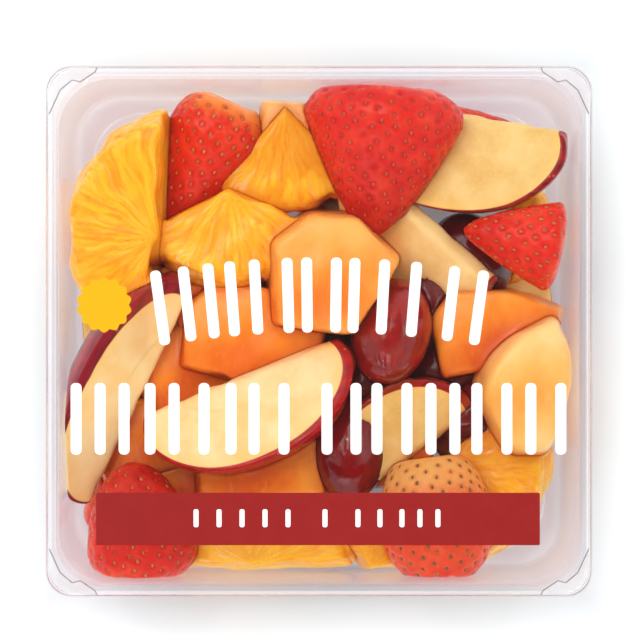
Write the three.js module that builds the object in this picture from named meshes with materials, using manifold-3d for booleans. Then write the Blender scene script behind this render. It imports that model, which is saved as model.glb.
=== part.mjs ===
// A sealed clear tray of cut fruit: strawberries, orange, melon, apple and grapes under a clear film lid.
// Millimetres, +Z up. The tray stands on z = 0 with its middle over the origin, and -Y is its near side.
import * as THREE from "three";
import { mergeVertices } from "three/addons/utils/BufferGeometryUtils.js";
import Module from "manifold-3d";

const wasm = await Module();
wasm.setup();

// Driving dimensions of the tray. A corner's radius grows from the rim's to the well's across the rim.
const TRAY_HALF_WIDTH = 70;
const TRAY_HALF_DEPTH = 68;
const TRAY_HEIGHT = 51.6;
const FLOOR_TOP = 2.2;
const RIM_WIDTH = 3.5;
const RIM_CORNER = 6.5;
const WELL_CORNER = 13;
const CORNER_STEPS = 4;

// Driving dimensions of the film over it
const FILM = 0.4;
const FILM_INSET = 0.35;
const FILM_BASE = TRAY_HEIGHT + 0.1;

// How far a piece stays from the wall, floor and film, and from the pieces that lie on it
const GAP = 0.35;
const GROWTH = 1.2;

// Facets: how finely a piece is first made, and how far its flat faces may then leave the true form
const DETAIL = 9;
const FACET = 0.8;
const TRIM_FACET = 0.6;
const LOWER_DETAIL = 5;
const LOWER_FACET = 2;

// A hulled strawberry's hollow where the leaves were, and how much narrower it is there
const HULL_HOLLOW = 1.6;
const HULL_SPREAD = 0.2;
const HULL_NARROWING = 0.42;

// An apple's dimple at stalk and eye, as shares of its half height and its radius, and its roundness
const DIMPLE_DEPTH = 0.2;
const DIMPLE_SPREAD = 0.3;
const APPLE_END_POWER = 2.3;
const APPLE_SIDE_POWER = 2.2;

// Twice the radius of the dome on top of a chunk of melon
const MELON_DOME = 150;

// No piece reaches farther than this from its own middle
const FARTHEST = 60;

const radians = THREE.MathUtils.degToRad;

// Closed geometry and solids

// The solid inside a closed three.js geometry.
function toSolid(geometry) {
  const plain = geometry.index ? geometry.toNonIndexed() : geometry.clone();
  const bare = new THREE.BufferGeometry().setAttribute("position", plain.getAttribute("position"));
  const merged = mergeVertices(bare, 1e-4);
  const index = merged.index.array;
  const triangles = [];
  for (let i = 0; i < index.length; i += 3) {
    const [a, b, c] = [index[i], index[i + 1], index[i + 2]];
    if (a !== b && b !== c && c !== a) triangles.push(a, b, c);
  }
  const mesh = new wasm.Mesh({
    numProp: 3,
    vertProperties: new Float32Array(merged.attributes.position.array),
    triVerts: new Uint32Array(triangles),
  });
  return new wasm.Manifold(mesh);
}

// The three.js geometry of a solid.
function toGeometry(solid) {
  const mesh = solid.getMesh();
  const points = new Float32Array(mesh.numVert * 3);
  for (let i = 0; i < mesh.numVert; i++) {
    points.set(mesh.vertProperties.subarray(i * mesh.numProp, i * mesh.numProp + 3), i * 3);
  }
  const geometry = new THREE.BufferGeometry()
    .setAttribute("position", new THREE.BufferAttribute(points, 3))
    .setIndex(new THREE.BufferAttribute(mesh.triVerts, 1));
  geometry.computeVertexNormals();
  return geometry;
}

// The largest of a solid's separate bodies.
function largest(solid) {
  return solid.decompose().reduce((best, body) => (body.volume() > best.volume() ? body : best));
}

// The larger of two distances, with the corner between them rounded over the width k.
function blend(a, b, k) {
  const h = Math.max(k - Math.abs(a - b), 0) / k;
  return Math.max(a, b) + (h * h * k) / 4;
}

// The fruit: each shape gives a middle point inside it and a distance that is negative inside

// A grape, longest along X.
function grape({ length, width }) {
  const distance = (x, y, z) => Math.hypot((x * width) / length, y, z) - width / 2;
  return { middle: [0, 0, 0], distance };
}

// A strawberry's half width, as a share of the widest, at the share t of the way from its tip to its hull.
// A blunt tip is round like a ball's end, and a less blunt one comes to a point.
function berryShare(t, shoulder, blunt) {
  if (t >= shoulder) return 1 - HULL_NARROWING * ((t - shoulder) / (1 - shoulder)) ** 2.6;
  const climb = Math.max(0, t / shoulder);
  return blunt * Math.sqrt(1 - (1 - climb) ** 2) + (1 - blunt) * climb ** 1.3;
}

// A hulled strawberry with its tip at -X. A cut of less than half its height gives it a flat face below.
function strawberry({ length, width, height, shoulder = 0.72, blunt = 0.5, cut = height }) {
  const distance = (x, y, z) => {
    const round = Math.hypot(y, (z * width) / height);
    const fromTip = x + length / 2;
    const side = round - (width / 2) * berryShare(fromTip / length, shoulder, blunt);
    const tip = fromTip < 0 ? Math.hypot(round, fromTip) : side;
    const hull = x - length / 2 + HULL_HOLLOW * Math.exp(-((round / (HULL_SPREAD * width)) ** 2));
    return blend(blend(tip, hull, 3), -z - cut, 1);
  };
  return { middle: [length * 0.12, 0, Math.max(0, height / 4 - cut / 2)], distance };
}

// An apple's wedge: stalk to eye along X, skin towards -Y, cut faces up and below, and the core cut away.
function appleWedge({ radius, half, span = 46, core = 5.5 }) {
  const turn = radians(span);
  const out = [-Math.cos(turn / 2), -Math.sin(turn / 2)];
  const reach = (core + radius) / 2;
  const distance = (x, y, z) => {
    const rho = Math.hypot(y, z);
    const end = half * (1 - DIMPLE_DEPTH * Math.exp(-((rho / (DIMPLE_SPREAD * radius)) ** 2)));
    const swell = (Math.abs(x) / end) ** APPLE_END_POWER + (rho / radius) ** APPLE_SIDE_POWER;
    const skin = ((swell - 1) * radius) / APPLE_SIDE_POWER;
    const below = y * Math.sin(turn) - z * Math.cos(turn);
    const heart = core - y * out[0] - z * out[1];
    return blend(blend(skin, Math.max(z, below), 0.8), heart, 1.6);
  };
  return { middle: [0, out[0] * reach, out[1] * reach], distance };
}

// A slice of peeled orange: its heart at the origin, its round side towards -Y, its cut faces up and down.
function orangeSlice({ radius, long = radius, thick, span = 170 }) {
  const half = radians(span / 2);
  const distance = (x, y, z) => {
    const round = (Math.hypot(x / long, y / radius, z / radius) - 1) * radius;
    const sides = y * Math.sin(half) + Math.abs(x) * Math.cos(half);
    return blend(blend(round, Math.abs(z) - thick / 2, 3), sides, 2);
  };
  return { middle: [0, -radius * 0.5, 0], distance };
}

// A chunk of melon with a slightly domed top: a side is [its direction, its distance, its lean] in degrees.
function melonChunk({ sides, thick, round = 2.6 }) {
  const planes = sides.map(([turn, reach, lean = 0]) => {
    const flat = Math.cos(radians(lean));
    return [flat * Math.cos(radians(turn)), flat * Math.sin(radians(turn)), Math.sin(radians(lean)), reach];
  });
  const distance = (x, y, z) => {
    let found = blend(z + (x * x + y * y) / MELON_DOME - thick / 2, -z - thick / 2, round);
    for (const [nx, ny, nz, reach] of planes) found = blend(found, nx * x + ny * y + nz * z - reach, round);
    return found;
  };
  return { middle: [0, 0, 0], distance };
}

// A ball whose points have moved along their rays to where the distance reaches the given level.
function blown({ middle, distance }, level, detail) {
  const ball = new THREE.IcosahedronGeometry(1, detail);
  const points = ball.getAttribute("position");
  for (let i = 0; i < points.count; i++) {
    const ray = [points.getX(i), points.getY(i), points.getZ(i)];
    let [near, far] = [0, FARTHEST];
    for (let step = 0; step < 26; step++) {
      const t = (near + far) / 2;
      const [x, y, z] = ray.map((part, axis) => middle[axis] + part * t);
      if (distance(x, y, z) < level) near = t;
      else far = t;
    }
    points.setXYZ(i, ...ray.map((part, axis) => middle[axis] + part * near));
  }
  return toSolid(ball);
}

// Where each piece lies: at is its own origin, and turn is its roll, pitch and yaw in degrees

const SHAPES = { grape, strawberry, appleWedge, orangeSlice, melonChunk };

// The four sides of a plain block of melon.
const block = (halfLength, halfWidth) => [
  [0, halfLength, 3],
  [90, halfWidth, 3],
  [180, halfLength, 4],
  [-90, halfWidth, 3],
];

// From the film down: a piece further down the list is cut where it meets one further up.
const FRUIT = [
  { name: "strawberry_large", kind: "strawberry", at: [15.7, 44.3, 35.2], turn: [0, -3, 84],
    size: { length: 40, width: 41.6, height: 27, shoulder: 0.76, cut: 9 } },
  { name: "melon_middle", kind: "melonChunk", at: [2.8, 15.2, 36.5], turn: [3, 4, 0],
    size: {
      thick: 24,
      sides: [[182, 15.4, 4], [128, 16, 2], [88, 15.4, 3], [46, 15.6, 4], [-33, 13.8, 3], [-98, 15.6, 2]],
    } },
  { name: "apple_middle", kind: "appleWedge", at: [-22.2, -6.4, 37.5], turn: [-18, 0, 22],
    size: { radius: 29.8, half: 32 } },
  { name: "strawberry_right", kind: "strawberry", at: [50.4, 23.9, 36], turn: [10, 0, -11],
    size: { length: 26.5, width: 23.8, height: 21, shoulder: 0.86 } },
  { name: "apple_inner", kind: "appleWedge", at: [30.2, 31.2, 37.5], turn: [28, 0, -41.6],
    size: { radius: 24.5, half: 27 } },
  { name: "grape_middle", kind: "grape", at: [18.7, 0, 33.5], turn: [0, 8, 78],
    size: { length: 28, width: 21 } },
  { name: "strawberry_near_left", kind: "strawberry", at: [-46.6, -49.6, 34], turn: [0, 4, -82],
    size: { length: 32, width: 29, height: 26, shoulder: 0.66, blunt: 0.85 } },
  { name: "strawberry_near_right", kind: "strawberry", at: [30.5, -49.6, 34], turn: [0, 4, 98],
    size: { length: 35, width: 30, height: 27, shoulder: 0.43, blunt: 0.9 } },
  { name: "melon_right", kind: "melonChunk", at: [53.6, -10.3, 34], turn: [0, 6, 0],
    size: {
      thick: 23,
      round: 3.5,
      sides: [
        [-4, 12, 6], [27, 13.4, 6], [118, 10.1, 4], [147, 10.2, 4], [174, 12.4, 4], [210, 15, 3], [268, 21.6, 5],
        [-23, 13.8, 5],
      ],
    } },
  { name: "apple_left", kind: "appleWedge", at: [-41, -18.6, 30.8], turn: [-33, 8, 244.5],
    size: { radius: 26, half: 36 } },
  { name: "orange_left", kind: "orangeSlice", at: [-40.2, 25.4, 35.5], turn: [6, 8, -95],
    size: { radius: 25.2, long: 32, thick: 20, span: 174 } },
  { name: "orange_middle", kind: "orangeSlice", at: [-23.3, 36.7, 30], turn: [-3, 0, 2],
    size: { radius: 26, thick: 19, span: 132 } },
  { name: "apple_right", kind: "appleWedge", at: [37.2, 61.8, 31.5], turn: [-7, -7, -9.7],
    size: { radius: 31, half: 33 } },
  { name: "orange_upper", kind: "orangeSlice", at: [-8.9, 58.6, 28], turn: [4, 0, 3],
    size: { radius: 28, thick: 18, span: 88 } },
  { name: "strawberry_left", kind: "strawberry", at: [-31.2, 41.4, 29.5], turn: [0, -4, 66],
    size: { length: 41, width: 25.4, height: 22, shoulder: 0.74 } },
  { name: "grape_near", kind: "grape", at: [8.2, -30, 27.5], turn: [0, 8, 86],
    size: { length: 29, width: 20 } },
  { name: "apple_near", kind: "appleWedge", at: [27.5, -36.8, 31], turn: [-12, 0, 217],
    size: { radius: 25, half: 23 } },
  { name: "melon_right_inner", kind: "melonChunk", at: [46, 2.8, 24], turn: [0, -3, 12],
    size: {
      thick: 24,
      sides: [[78, 8.2, 2], [58, 9.4, 3], [-20, 17, 2], [-88, 12, 3], [180, 17, 4], [130, 14, 2]],
    } },
  { name: "melon_left_inner", kind: "melonChunk", at: [-17.5, -1, 25.5], turn: [0, 0, -14],
    size: {
      thick: 24,
      sides: [[95, 13, 2], [40, 18, 3], [-10, 18.5, 3], [-90, 13, 4], [188, 18, 4], [140, 17, 2]],
    } },
  { name: "melon_near", kind: "melonChunk", at: [-15.6, -33, 23.5], turn: [0, 0, 4],
    size: { thick: 21, sides: block(17, 11) } },
  { name: "orange_near_right", kind: "orangeSlice", at: [33.8, -34.8, 20.5], turn: [-6, 0, 58],
    size: { radius: 27.5, thick: 19, span: 172 } },
  { name: "orange_near", kind: "orangeSlice", at: [-17, -62.6, 25], turn: [12, 0, 180],
    size: { radius: 24, long: 27, thick: 17, span: 176 } },
  { name: "orange_near_middle", kind: "orangeSlice", at: [13, -62.6, 24], turn: [8, 0, 160],
    size: { radius: 20, thick: 16, span: 130 } },
  { name: "melon_far", kind: "melonChunk", at: [-4.8, 51.8, 22], turn: [0, 0, 0],
    size: {
      thick: 28,
      sides: [[88, 8.4, 2], [72, 8.4, 3], [0, 13, 3], [-90, 10, 3], [180, 10.6, 2]],
    } },
  { name: "melon_left", kind: "melonChunk", at: [-36, -9, 21], turn: [0, 8, 20],
    size: { thick: 20, sides: block(11, 11) } },
  { name: "melon_left_low", kind: "melonChunk", at: [-46, -28, 19], turn: [0, 0, 15],
    size: { thick: 18, sides: block(13, 10) } },
  { name: "grape_right", kind: "grape", at: [39.6, 19.2, 20], turn: [0, 10, -55],
    size: { length: 25, width: 21 } },
  { name: "grape_left", kind: "grape", at: [-39, 22, 19], turn: [0, 0, 70],
    size: { length: 26, width: 20 } },
  { name: "grape_under_melon", kind: "grape", at: [2, -3, 18], turn: [0, 0, 10],
    size: { length: 27, width: 20 } },
  { name: "grape_inner", kind: "grape", at: [33, -10, 19], turn: [0, 0, -12],
    size: { length: 28, width: 20 } },
  { name: "grape_near_right", kind: "grape", at: [42, -25, 21], turn: [0, 0, 30],
    size: { length: 26, width: 19.5 } },
];

// The fruit below what shows from above, which only shows through the clear sides and base.
const LOWER = [
  { kind: "melonChunk", at: [-52, 30, 13], turn: [0, 0, 10],
    size: { thick: 20, sides: block(11, 11) } },
  { kind: "appleWedge", at: [-40, 2, 18], turn: [20, 0, -84], size: { radius: 24, half: 21 } },
  { kind: "grape", at: [-53, -28, 12.5], turn: [0, 0, 80], size: { length: 25, width: 19 } },
  { kind: "strawberry", at: [-47, -47, 12.5], turn: [0, 0, 150], size: { length: 28, width: 23, height: 20 } },
  { kind: "melonChunk", at: [-24, -50, 12], turn: [0, 0, 8],
    size: { thick: 18, sides: block(12, 10) } },
  { kind: "grape", at: [4, -52, 12], turn: [0, 0, 10], size: { length: 26, width: 19 } },
  { kind: "strawberry", at: [30, -50, 12], turn: [0, 0, 20], size: { length: 28, width: 23, height: 20 } },
  { kind: "melonChunk", at: [52, -16, 12.5], turn: [0, 0, -6],
    size: { thick: 19, sides: block(11, 14) } },
  { kind: "appleWedge", at: [40, 5, 18], turn: [25, 0, 88], size: { radius: 24, half: 21 } },
  { kind: "orangeSlice", at: [48, 27, 13], turn: [0, 0, 80], size: { radius: 15, thick: 15 } },
  { kind: "strawberry", at: [40, 50, 13], turn: [0, 0, -170], size: { length: 28, width: 23, height: 20 } },
  { kind: "grape", at: [15, 53, 13], turn: [0, 0, 5], size: { length: 26, width: 20 } },
  { kind: "orangeSlice", at: [-26, 42, 12], turn: [0, 0, 180], size: { radius: 18, thick: 15 } },
  { kind: "melonChunk", at: [-22, 18, 10], turn: [0, 0, 30],
    size: { thick: 15, sides: block(12, 11) } },
  { kind: "melonChunk", at: [8, 24, 11], turn: [0, 0, -20],
    size: { thick: 17, sides: block(12, 11) } },
  { kind: "orangeSlice", at: [-14, -10, 9], turn: [0, 0, -60], size: { radius: 18, thick: 12 } },
  { kind: "melonChunk", at: [18, -20, 9], turn: [0, 0, 40],
    size: { thick: 13, sides: block(12, 11) } },
];

// The plain middle that holds the lower fruit together
const CORE = {
  at: [0, 0, 8],
  size: {
    thick: 9,
    sides: [[0, 50], [90, 48], [180, 50], [270, 48], [45, 58], [135, 52], [225, 58], [315, 58]],
  },
};

// The tray and its film

// The radius of the corners of a ring of the tray, by the ring's distance in from the rim's outline.
function cornerRadius(inset) {
  const across = THREE.MathUtils.clamp((inset - 1) / (RIM_WIDTH - 1), 0, 1);
  return THREE.MathUtils.lerp(RIM_CORNER, WELL_CORNER, across);
}

// A lathed solid whose rings are then moved out to rounded rectangles: profile points are [inset, height].
function squared(profile) {
  const steps = 4 * (CORNER_STEPS + 1);
  const outline = profile.map(([inset, z]) => new THREE.Vector2(TRAY_HALF_WIDTH - inset, z));
  const lathe = new THREE.LatheGeometry(outline, steps);
  const points = lathe.getAttribute("position");
  for (let i = 0; i < points.count; i++) {
    const [inset, z] = profile[i % profile.length];
    const step = Math.floor(i / profile.length) % steps;
    const quarter = Math.floor(step / (CORNER_STEPS + 1));
    const turn = radians(90 * (quarter + (step % (CORNER_STEPS + 1)) / CORNER_STEPS));
    const across = TRAY_HALF_WIDTH - inset;
    const deep = across === 0 ? 0 : TRAY_HALF_DEPTH - inset;
    const corner = Math.min(cornerRadius(inset), across, deep);
    const right = quarter === 0 || quarter === 3 ? 1 : -1;
    const far = quarter < 2 ? 1 : -1;
    const x = right * (across - corner) + corner * Math.cos(turn);
    const y = far * (deep - corner) + corner * Math.sin(turn);
    points.setXYZ(i, x, y, z);
  }
  return toSolid(lathe);
}

// From the middle of the underside over the foot, wall, rim and inside to the middle of the floor
const TRAY_PROFILE = [
  [TRAY_HALF_WIDTH, 1.5],
  [13.5, 1.5],
  [12, 0],
  [8, 0],
  [6.2, 1.4],
  [5.2, 4],
  [3.1, 46.4],
  [2.8, 50.9],
  [0.7, 50.9],
  [0.7, 49.3],
  [0, 49.3],
  [0, TRAY_HEIGHT],
  [RIM_WIDTH, TRAY_HEIGHT],
  [3.8, 46.4],
  [5.9, 4.2],
  [6.8, 2.4],
  [8.3, 0.8],
  [11.7, 0.8],
  [13.2, FLOOR_TOP],
  [TRAY_HALF_WIDTH, FLOOR_TOP],
];

const FILM_PROFILE = [
  [TRAY_HALF_WIDTH, FILM_BASE],
  [FILM_INSET, FILM_BASE],
  [FILM_INSET, FILM_BASE + FILM],
  [TRAY_HALF_WIDTH, FILM_BASE + FILM],
];

// The free room inside the shut tray
const ROOM_PROFILE = [
  [TRAY_HALF_WIDTH, FLOOR_TOP + GAP],
  [9, FLOOR_TOP + GAP],
  [5.9 + GAP, 4.6],
  [3.8 + GAP, 46.4],
  [RIM_WIDTH + GAP, TRAY_HEIGHT - GAP],
  [TRAY_HALF_WIDTH, TRAY_HEIGHT - GAP],
];

// Placing and fitting

// The matrix of a place's turn and position.
function placing({ at, turn = [0, 0, 0] }) {
  const [roll, pitch, yaw] = turn.map(radians);
  const turned = new THREE.Quaternion().setFromEuler(new THREE.Euler(roll, pitch, yaw, "ZYX"));
  return new THREE.Matrix4().compose(new THREE.Vector3(...at), turned, new THREE.Vector3(1, 1, 1));
}

// A place's fruit as a solid where it lies, at a level of its distance.
function laid(place, level, detail, facet) {
  const made = blown(SHAPES[place.kind](place.size), level, detail).simplify(facet);
  return made.transform(placing(place).elements);
}

// Whether two solids are near enough to meet.
function boxesMeet(one, other) {
  const [a, b] = [one.boundingBox(), other.boundingBox()];
  return [0, 1, 2].every((axis) => a.min[axis] <= b.max[axis] && b.min[axis] <= a.max[axis]);
}

// A solid without what the grown pieces on it take up.
function fitted(solid, above, room) {
  const near = above.filter((other) => boxesMeet(other, solid));
  const cut = near.reduce((left, other) => left.subtract(other), solid);
  return largest(cut.intersect(room).simplify(TRIM_FACET));
}

const MATERIALS = {
  strawberry: new THREE.MeshStandardMaterial({ color: 0xd9301c, roughness: 0.35, metalness: 0 }),
  orangeSlice: new THREE.MeshStandardMaterial({ color: 0xfaa82a, roughness: 0.35, metalness: 0 }),
  melonChunk: new THREE.MeshStandardMaterial({ color: 0xf79a4a, roughness: 0.45, metalness: 0 }),
  appleWedge: new THREE.MeshStandardMaterial({ color: 0xf6d896, roughness: 0.5, metalness: 0 }),
  grape: new THREE.MeshStandardMaterial({ color: 0x6e0f12, roughness: 0.2, metalness: 0 }),
  lower: new THREE.MeshStandardMaterial({ color: 0xe8913c, roughness: 0.5, metalness: 0 }),
  tray: new THREE.MeshStandardMaterial({ color: 0xf2efee, roughness: 0.1, metalness: 0, transparent: true }),
  film: new THREE.MeshStandardMaterial({ color: 0xffffff, roughness: 0.08, metalness: 0, transparent: true }),
};
MATERIALS.tray.opacity = 0.25;
MATERIALS.film.opacity = 0.15;

// A solid as a named mesh at its place, in the place's own frame.
function named(name, material, solid, place) {
  const matrix = place ? placing(place) : new THREE.Matrix4();
  const back = matrix.clone().invert();
  const mesh = new THREE.Mesh(toGeometry(solid.transform(back.elements)), material);
  mesh.name = name;
  matrix.decompose(mesh.position, mesh.quaternion, mesh.scale);
  return mesh;
}

const pack = new THREE.Group();
pack.add(named("tray", MATERIALS.tray, squared(TRAY_PROFILE)));
pack.add(named("film_lid", MATERIALS.film, squared(FILM_PROFILE)));

const room = squared(ROOM_PROFILE);
const fruit = new THREE.Group();
const above = [];
for (const place of FRUIT) {
  const solid = fitted(laid(place, 0, DETAIL, FACET), above, room);
  fruit.add(named(place.name, MATERIALS[place.kind], solid, place));
  above.push(laid(place, GROWTH, DETAIL, FACET));
}

const core = blown(melonChunk(CORE.size), 0, LOWER_DETAIL).transform(placing(CORE).elements);
const heap = LOWER.reduce((all, place) => all.add(laid(place, 0, LOWER_DETAIL, LOWER_FACET)), core);
fruit.add(named("fruit_below", MATERIALS.lower, fitted(heap, above, room)));
pack.add(fruit);

export default pack;
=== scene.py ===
# %% [markdown]
# # A clear tray of cut fruit
# Strawberries, orange, melon, apple and grapes lie in a clear square tray, under a clear film lid that
# carries a simple print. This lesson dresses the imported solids: every piece of fruit is made again with a
# fine skin, and the tray, film and print get their true thin forms. Blender counts in metres, and so do the
# camera and the lamps here. The pack's own numbers are in millimetres, because they are easier to read, and
# each mesh is made 1000 times smaller as it is built.

import math

import bpy
import numpy as np
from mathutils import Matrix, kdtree


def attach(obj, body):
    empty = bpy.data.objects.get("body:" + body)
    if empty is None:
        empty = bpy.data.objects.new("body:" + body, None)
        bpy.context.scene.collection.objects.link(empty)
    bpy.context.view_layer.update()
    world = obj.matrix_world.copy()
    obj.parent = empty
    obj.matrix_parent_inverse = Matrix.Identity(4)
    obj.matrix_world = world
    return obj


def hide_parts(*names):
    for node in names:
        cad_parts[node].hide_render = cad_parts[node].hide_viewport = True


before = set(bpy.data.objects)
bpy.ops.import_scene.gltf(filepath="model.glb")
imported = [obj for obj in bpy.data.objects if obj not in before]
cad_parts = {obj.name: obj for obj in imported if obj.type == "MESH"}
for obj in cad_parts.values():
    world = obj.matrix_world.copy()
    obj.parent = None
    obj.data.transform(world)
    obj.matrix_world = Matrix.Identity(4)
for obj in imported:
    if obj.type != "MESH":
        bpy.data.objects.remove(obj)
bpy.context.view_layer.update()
MM = 0.001
print("solids in the frame:", len(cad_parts))

# %% [markdown]
# ## The photograph's view
# The pack is seen from straight above, from far enough that the walls hardly lean. A real camera would
# stand about 1.4 m over the film with a long lens, so the scene's camera does the same. It is made first,
# because everything else is judged through it. It stands a few millimetres off the pack's middle, as the
# pack doesn't lie quite in the middle of the picture.

# %% Camera
CAMERA_HEIGHT = 1.452
CAMERA_ASIDE = (0.00026, 0.0029)
LENS = 308

camera = bpy.data.objects.new("camera", bpy.data.cameras.new("camera"))
camera.data.lens = LENS
camera.data.clip_start = 0.1
camera.data.clip_end = 20
camera.location = (*CAMERA_ASIDE, CAMERA_HEIGHT)
bpy.context.scene.collection.objects.link(camera)
bpy.context.scene.camera = camera
print("camera looks straight down from", CAMERA_HEIGHT, "m")

# %% [markdown]
# ## Lamps
# The pack lies on a plain white table in soft light. One broad lamp stands high to the upper left, so the
# shadow falls a little to the right and below. A small strong lamp beside it puts the sharp glints on wet
# skin, and two weak ones lift the right and near sides. None of the lamps stands where the flat film would
# mirror it into the camera.

# %% Lamps


def tone(red, green, blue):
    """A colour given as on a screen, 0 to 255, as the linear colour that shaders take."""
    parts = [part / 255 for part in (red, green, blue)]
    linear = [p / 12.92 if p <= 0.04045 else ((p + 0.055) / 1.055) ** 2.4 for p in parts]
    return (*linear, 1)


def lamp(name, place, size, power):
    """A square white lamp of this size in metres and power in watts, facing the middle of the pack."""
    made = bpy.data.objects.new(name, bpy.data.lights.new(name, "AREA"))
    made.data.size = size
    made.data.energy = power
    made.location = place
    toward = -made.location
    made.rotation_euler = toward.to_track_quat("-Z", "Y").to_euler()
    bpy.context.scene.collection.objects.link(made)


lamp("key_lamp", (-0.5, 0.6, 1.5), 1.25, 12)
lamp("glint_lamp", (-0.33, 0.5, 1.5), 0.12, 1.6)
lamp("side_lamp", (1.1, 0.2, 1.1), 0.7, 2.4)
lamp("near_lamp", (-0.3, -1.1, 1.0), 0.8, 3)
bpy.context.scene.view_settings.view_transform = "Standard"

# %% [markdown]
# ## Working with nodes
# A finish is a small tree of nodes. A few helpers keep the trees short: one adds a node with its settings
# and inputs, and others add a ramp of colours, a stretched value or soft noise. An input is either a plain
# value or a socket to link.

# %% Node helpers


def add(tree, kind, inputs=None, **settings):
    """A new node with these settings, and these inputs as values or links."""
    made = tree.nodes.new(kind)
    for name, value in settings.items():
        setattr(made, name, value)
    for name, value in (inputs or {}).items():
        socket = made.inputs[name]
        if isinstance(value, bpy.types.NodeSocket):
            tree.links.new(value, socket)
        else:
            socket.default_value = value
    return made


def ramp(tree, share, stops):
    """The colour at a share from 0 to 1, between stops of (position, colour)."""
    made = add(tree, "ShaderNodeValToRGB", {"Fac": share})
    marks = made.color_ramp.elements
    while len(marks) < len(stops):
        marks.new(0.5)
    for mark, (position, colour) in zip(marks, stops):
        mark.position = position
        mark.color = colour
    return made.outputs["Color"]


def level(tree, value, low, high, start=0.0, end=1.0):
    """A value stretched from low..high to start..end and kept between them."""
    made = add(tree, "ShaderNodeMapRange", {0: value, 1: low, 2: high, 3: start, 4: end})
    return made.outputs[0]


def maths(tree, operation, one, other):
    """Two values put together by an operation."""
    return add(tree, "ShaderNodeMath", {0: one, 1: other}, operation=operation).outputs[0]


def stretched(tree, place, by):
    """A place scaled by its own amount along each axis, which draws spots out into streaks."""
    return add(tree, "ShaderNodeVectorMath", {0: place, 1: by}, operation="MULTIPLY").outputs[0]


def mixed(tree, share, one, other):
    """Two colours blended by a share."""
    return add(tree, "ShaderNodeMix", {0: share, 6: one, 7: other}, data_type="RGBA").outputs[2]


def reading(tree, name, output="Fac"):
    """What a mesh attribute says at each point."""
    return add(tree, "ShaderNodeAttribute", attribute_name=name).outputs[output]


def noise(tree, place, scale, detail=3.0, rough=0.55):
    """Soft random spots of about 1 / scale."""
    inputs = {"Vector": place, "Scale": scale, "Detail": detail, "Roughness": rough}
    return add(tree, "ShaderNodeTexNoise", inputs).outputs["Fac"]


def new_finish(name):
    """An empty material with its Principled BSDF."""
    made = bpy.data.materials.new(name)
    made.use_nodes = True
    return made, made.node_tree, made.node_tree.nodes["Principled BSDF"]


print("orange on a screen is, in linear light,", [round(part, 3) for part in tone(255, 165, 0)])

# %% [markdown]
# ## The room round the pack
# An even white room would lie on every wet surface as a pale veil, because they all face up and mirror the
# ceiling. So the room is bright at its sides and dim overhead, as in a studio where only the lens looks
# through a dark panel.

# %% World
ROOM_BRIGHT = 1.0
ROOM_OVERHEAD = 0.12


def soft_room():
    """A white world that is dimmer straight above."""
    world = bpy.data.worlds.new("soft_room")
    bpy.context.scene.world = world
    world.use_nodes = True
    tree = world.node_tree
    way = add(tree, "ShaderNodeTexCoord").outputs["Generated"]
    up = add(tree, "ShaderNodeSeparateXYZ", {0: way}).outputs["Z"]
    strength = level(tree, up, 0.72, 0.93, ROOM_BRIGHT, ROOM_OVERHEAD)
    tree.links.new(strength, tree.nodes["Background"].inputs["Strength"])
    tree.nodes["Background"].inputs["Color"].default_value = (1, 1, 1, 1)


soft_room()
print("the room's strength:", ROOM_BRIGHT, "at its sides,", ROOM_OVERHEAD, "overhead")

# %% [markdown]
# ## Wet flesh, shared by all cut fruit
# Cut fruit is never one colour: it has slow clouds of lighter and darker flesh, a fine grain, and a wet
# film that is smooth in some places and dull in others. This group is built once and used with each fruit's
# own sizes. It puts out three plain values: the clouds, the grain and how dull the surface is. The helpers
# after it add what every fruit's finish shares: fine relief, a painted warm shade where pieces meet, and
# light that passes a little way through the flesh.

# %% Group: wet flesh


def wet_flesh_group():
    """The group itself: places and sizes go in, three values come out."""
    tree = bpy.data.node_groups.new("wet_flesh", "ShaderNodeTree")
    tree.interface.new_socket("Place", in_out="INPUT", socket_type="NodeSocketVector")
    for name in ("Cloud size", "Grain size", "Wetness"):
        tree.interface.new_socket(name, in_out="INPUT", socket_type="NodeSocketFloat")
    for name in ("Clouds", "Grain", "Dullness"):
        tree.interface.new_socket(name, in_out="OUTPUT", socket_type="NodeSocketFloat")
    given = add(tree, "NodeGroupInput").outputs
    clouds = level(tree, noise(tree, given["Place"], given["Cloud size"], 3), 0.32, 0.68)
    grain = noise(tree, given["Place"], given["Grain size"], 2, 0.7)
    drops = level(tree, noise(tree, given["Place"], 210, 2), 0.35, 0.62)
    dry = maths(tree, "SUBTRACT", 1.0, given["Wetness"])
    uneven = maths(tree, "MULTIPLY", drops, 0.35)
    dull = add(tree, "ShaderNodeMath", {0: dry, 1: uneven}, operation="ADD", use_clamp=True).outputs[0]
    add(tree, "NodeGroupOutput", {"Clouds": clouds, "Grain": grain, "Dullness": dull})
    return tree


WET_FLESH = wet_flesh_group()


def wet_flesh(tree, place, cloud_size, grain_size, wetness):
    """The shared group in a material, with that fruit's sizes."""
    inputs = {"Place": place, "Cloud size": cloud_size, "Grain size": grain_size, "Wetness": wetness}
    return add(tree, "ShaderNodeGroup", inputs, node_tree=WET_FLESH).outputs


def skin_deep(tree, shader, height, strength, distance=0.0002):
    """Fine relief from a height, on top of what the mesh itself has."""
    inputs = {"Height": height, "Strength": strength, "Distance": distance}
    bump = add(tree, "ShaderNodeBump", inputs)
    tree.links.new(bump.outputs["Normal"], shader.inputs["Normal"])


def painted_crevice_shade(tree, colour, deep, strength=0.55):
    """Painted shade: a colour that turns to a deep, warm one where another piece is near."""
    return mixed(tree, level(tree, reading(tree, "open"), 0, 1, strength, 0), colour, deep)


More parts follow.
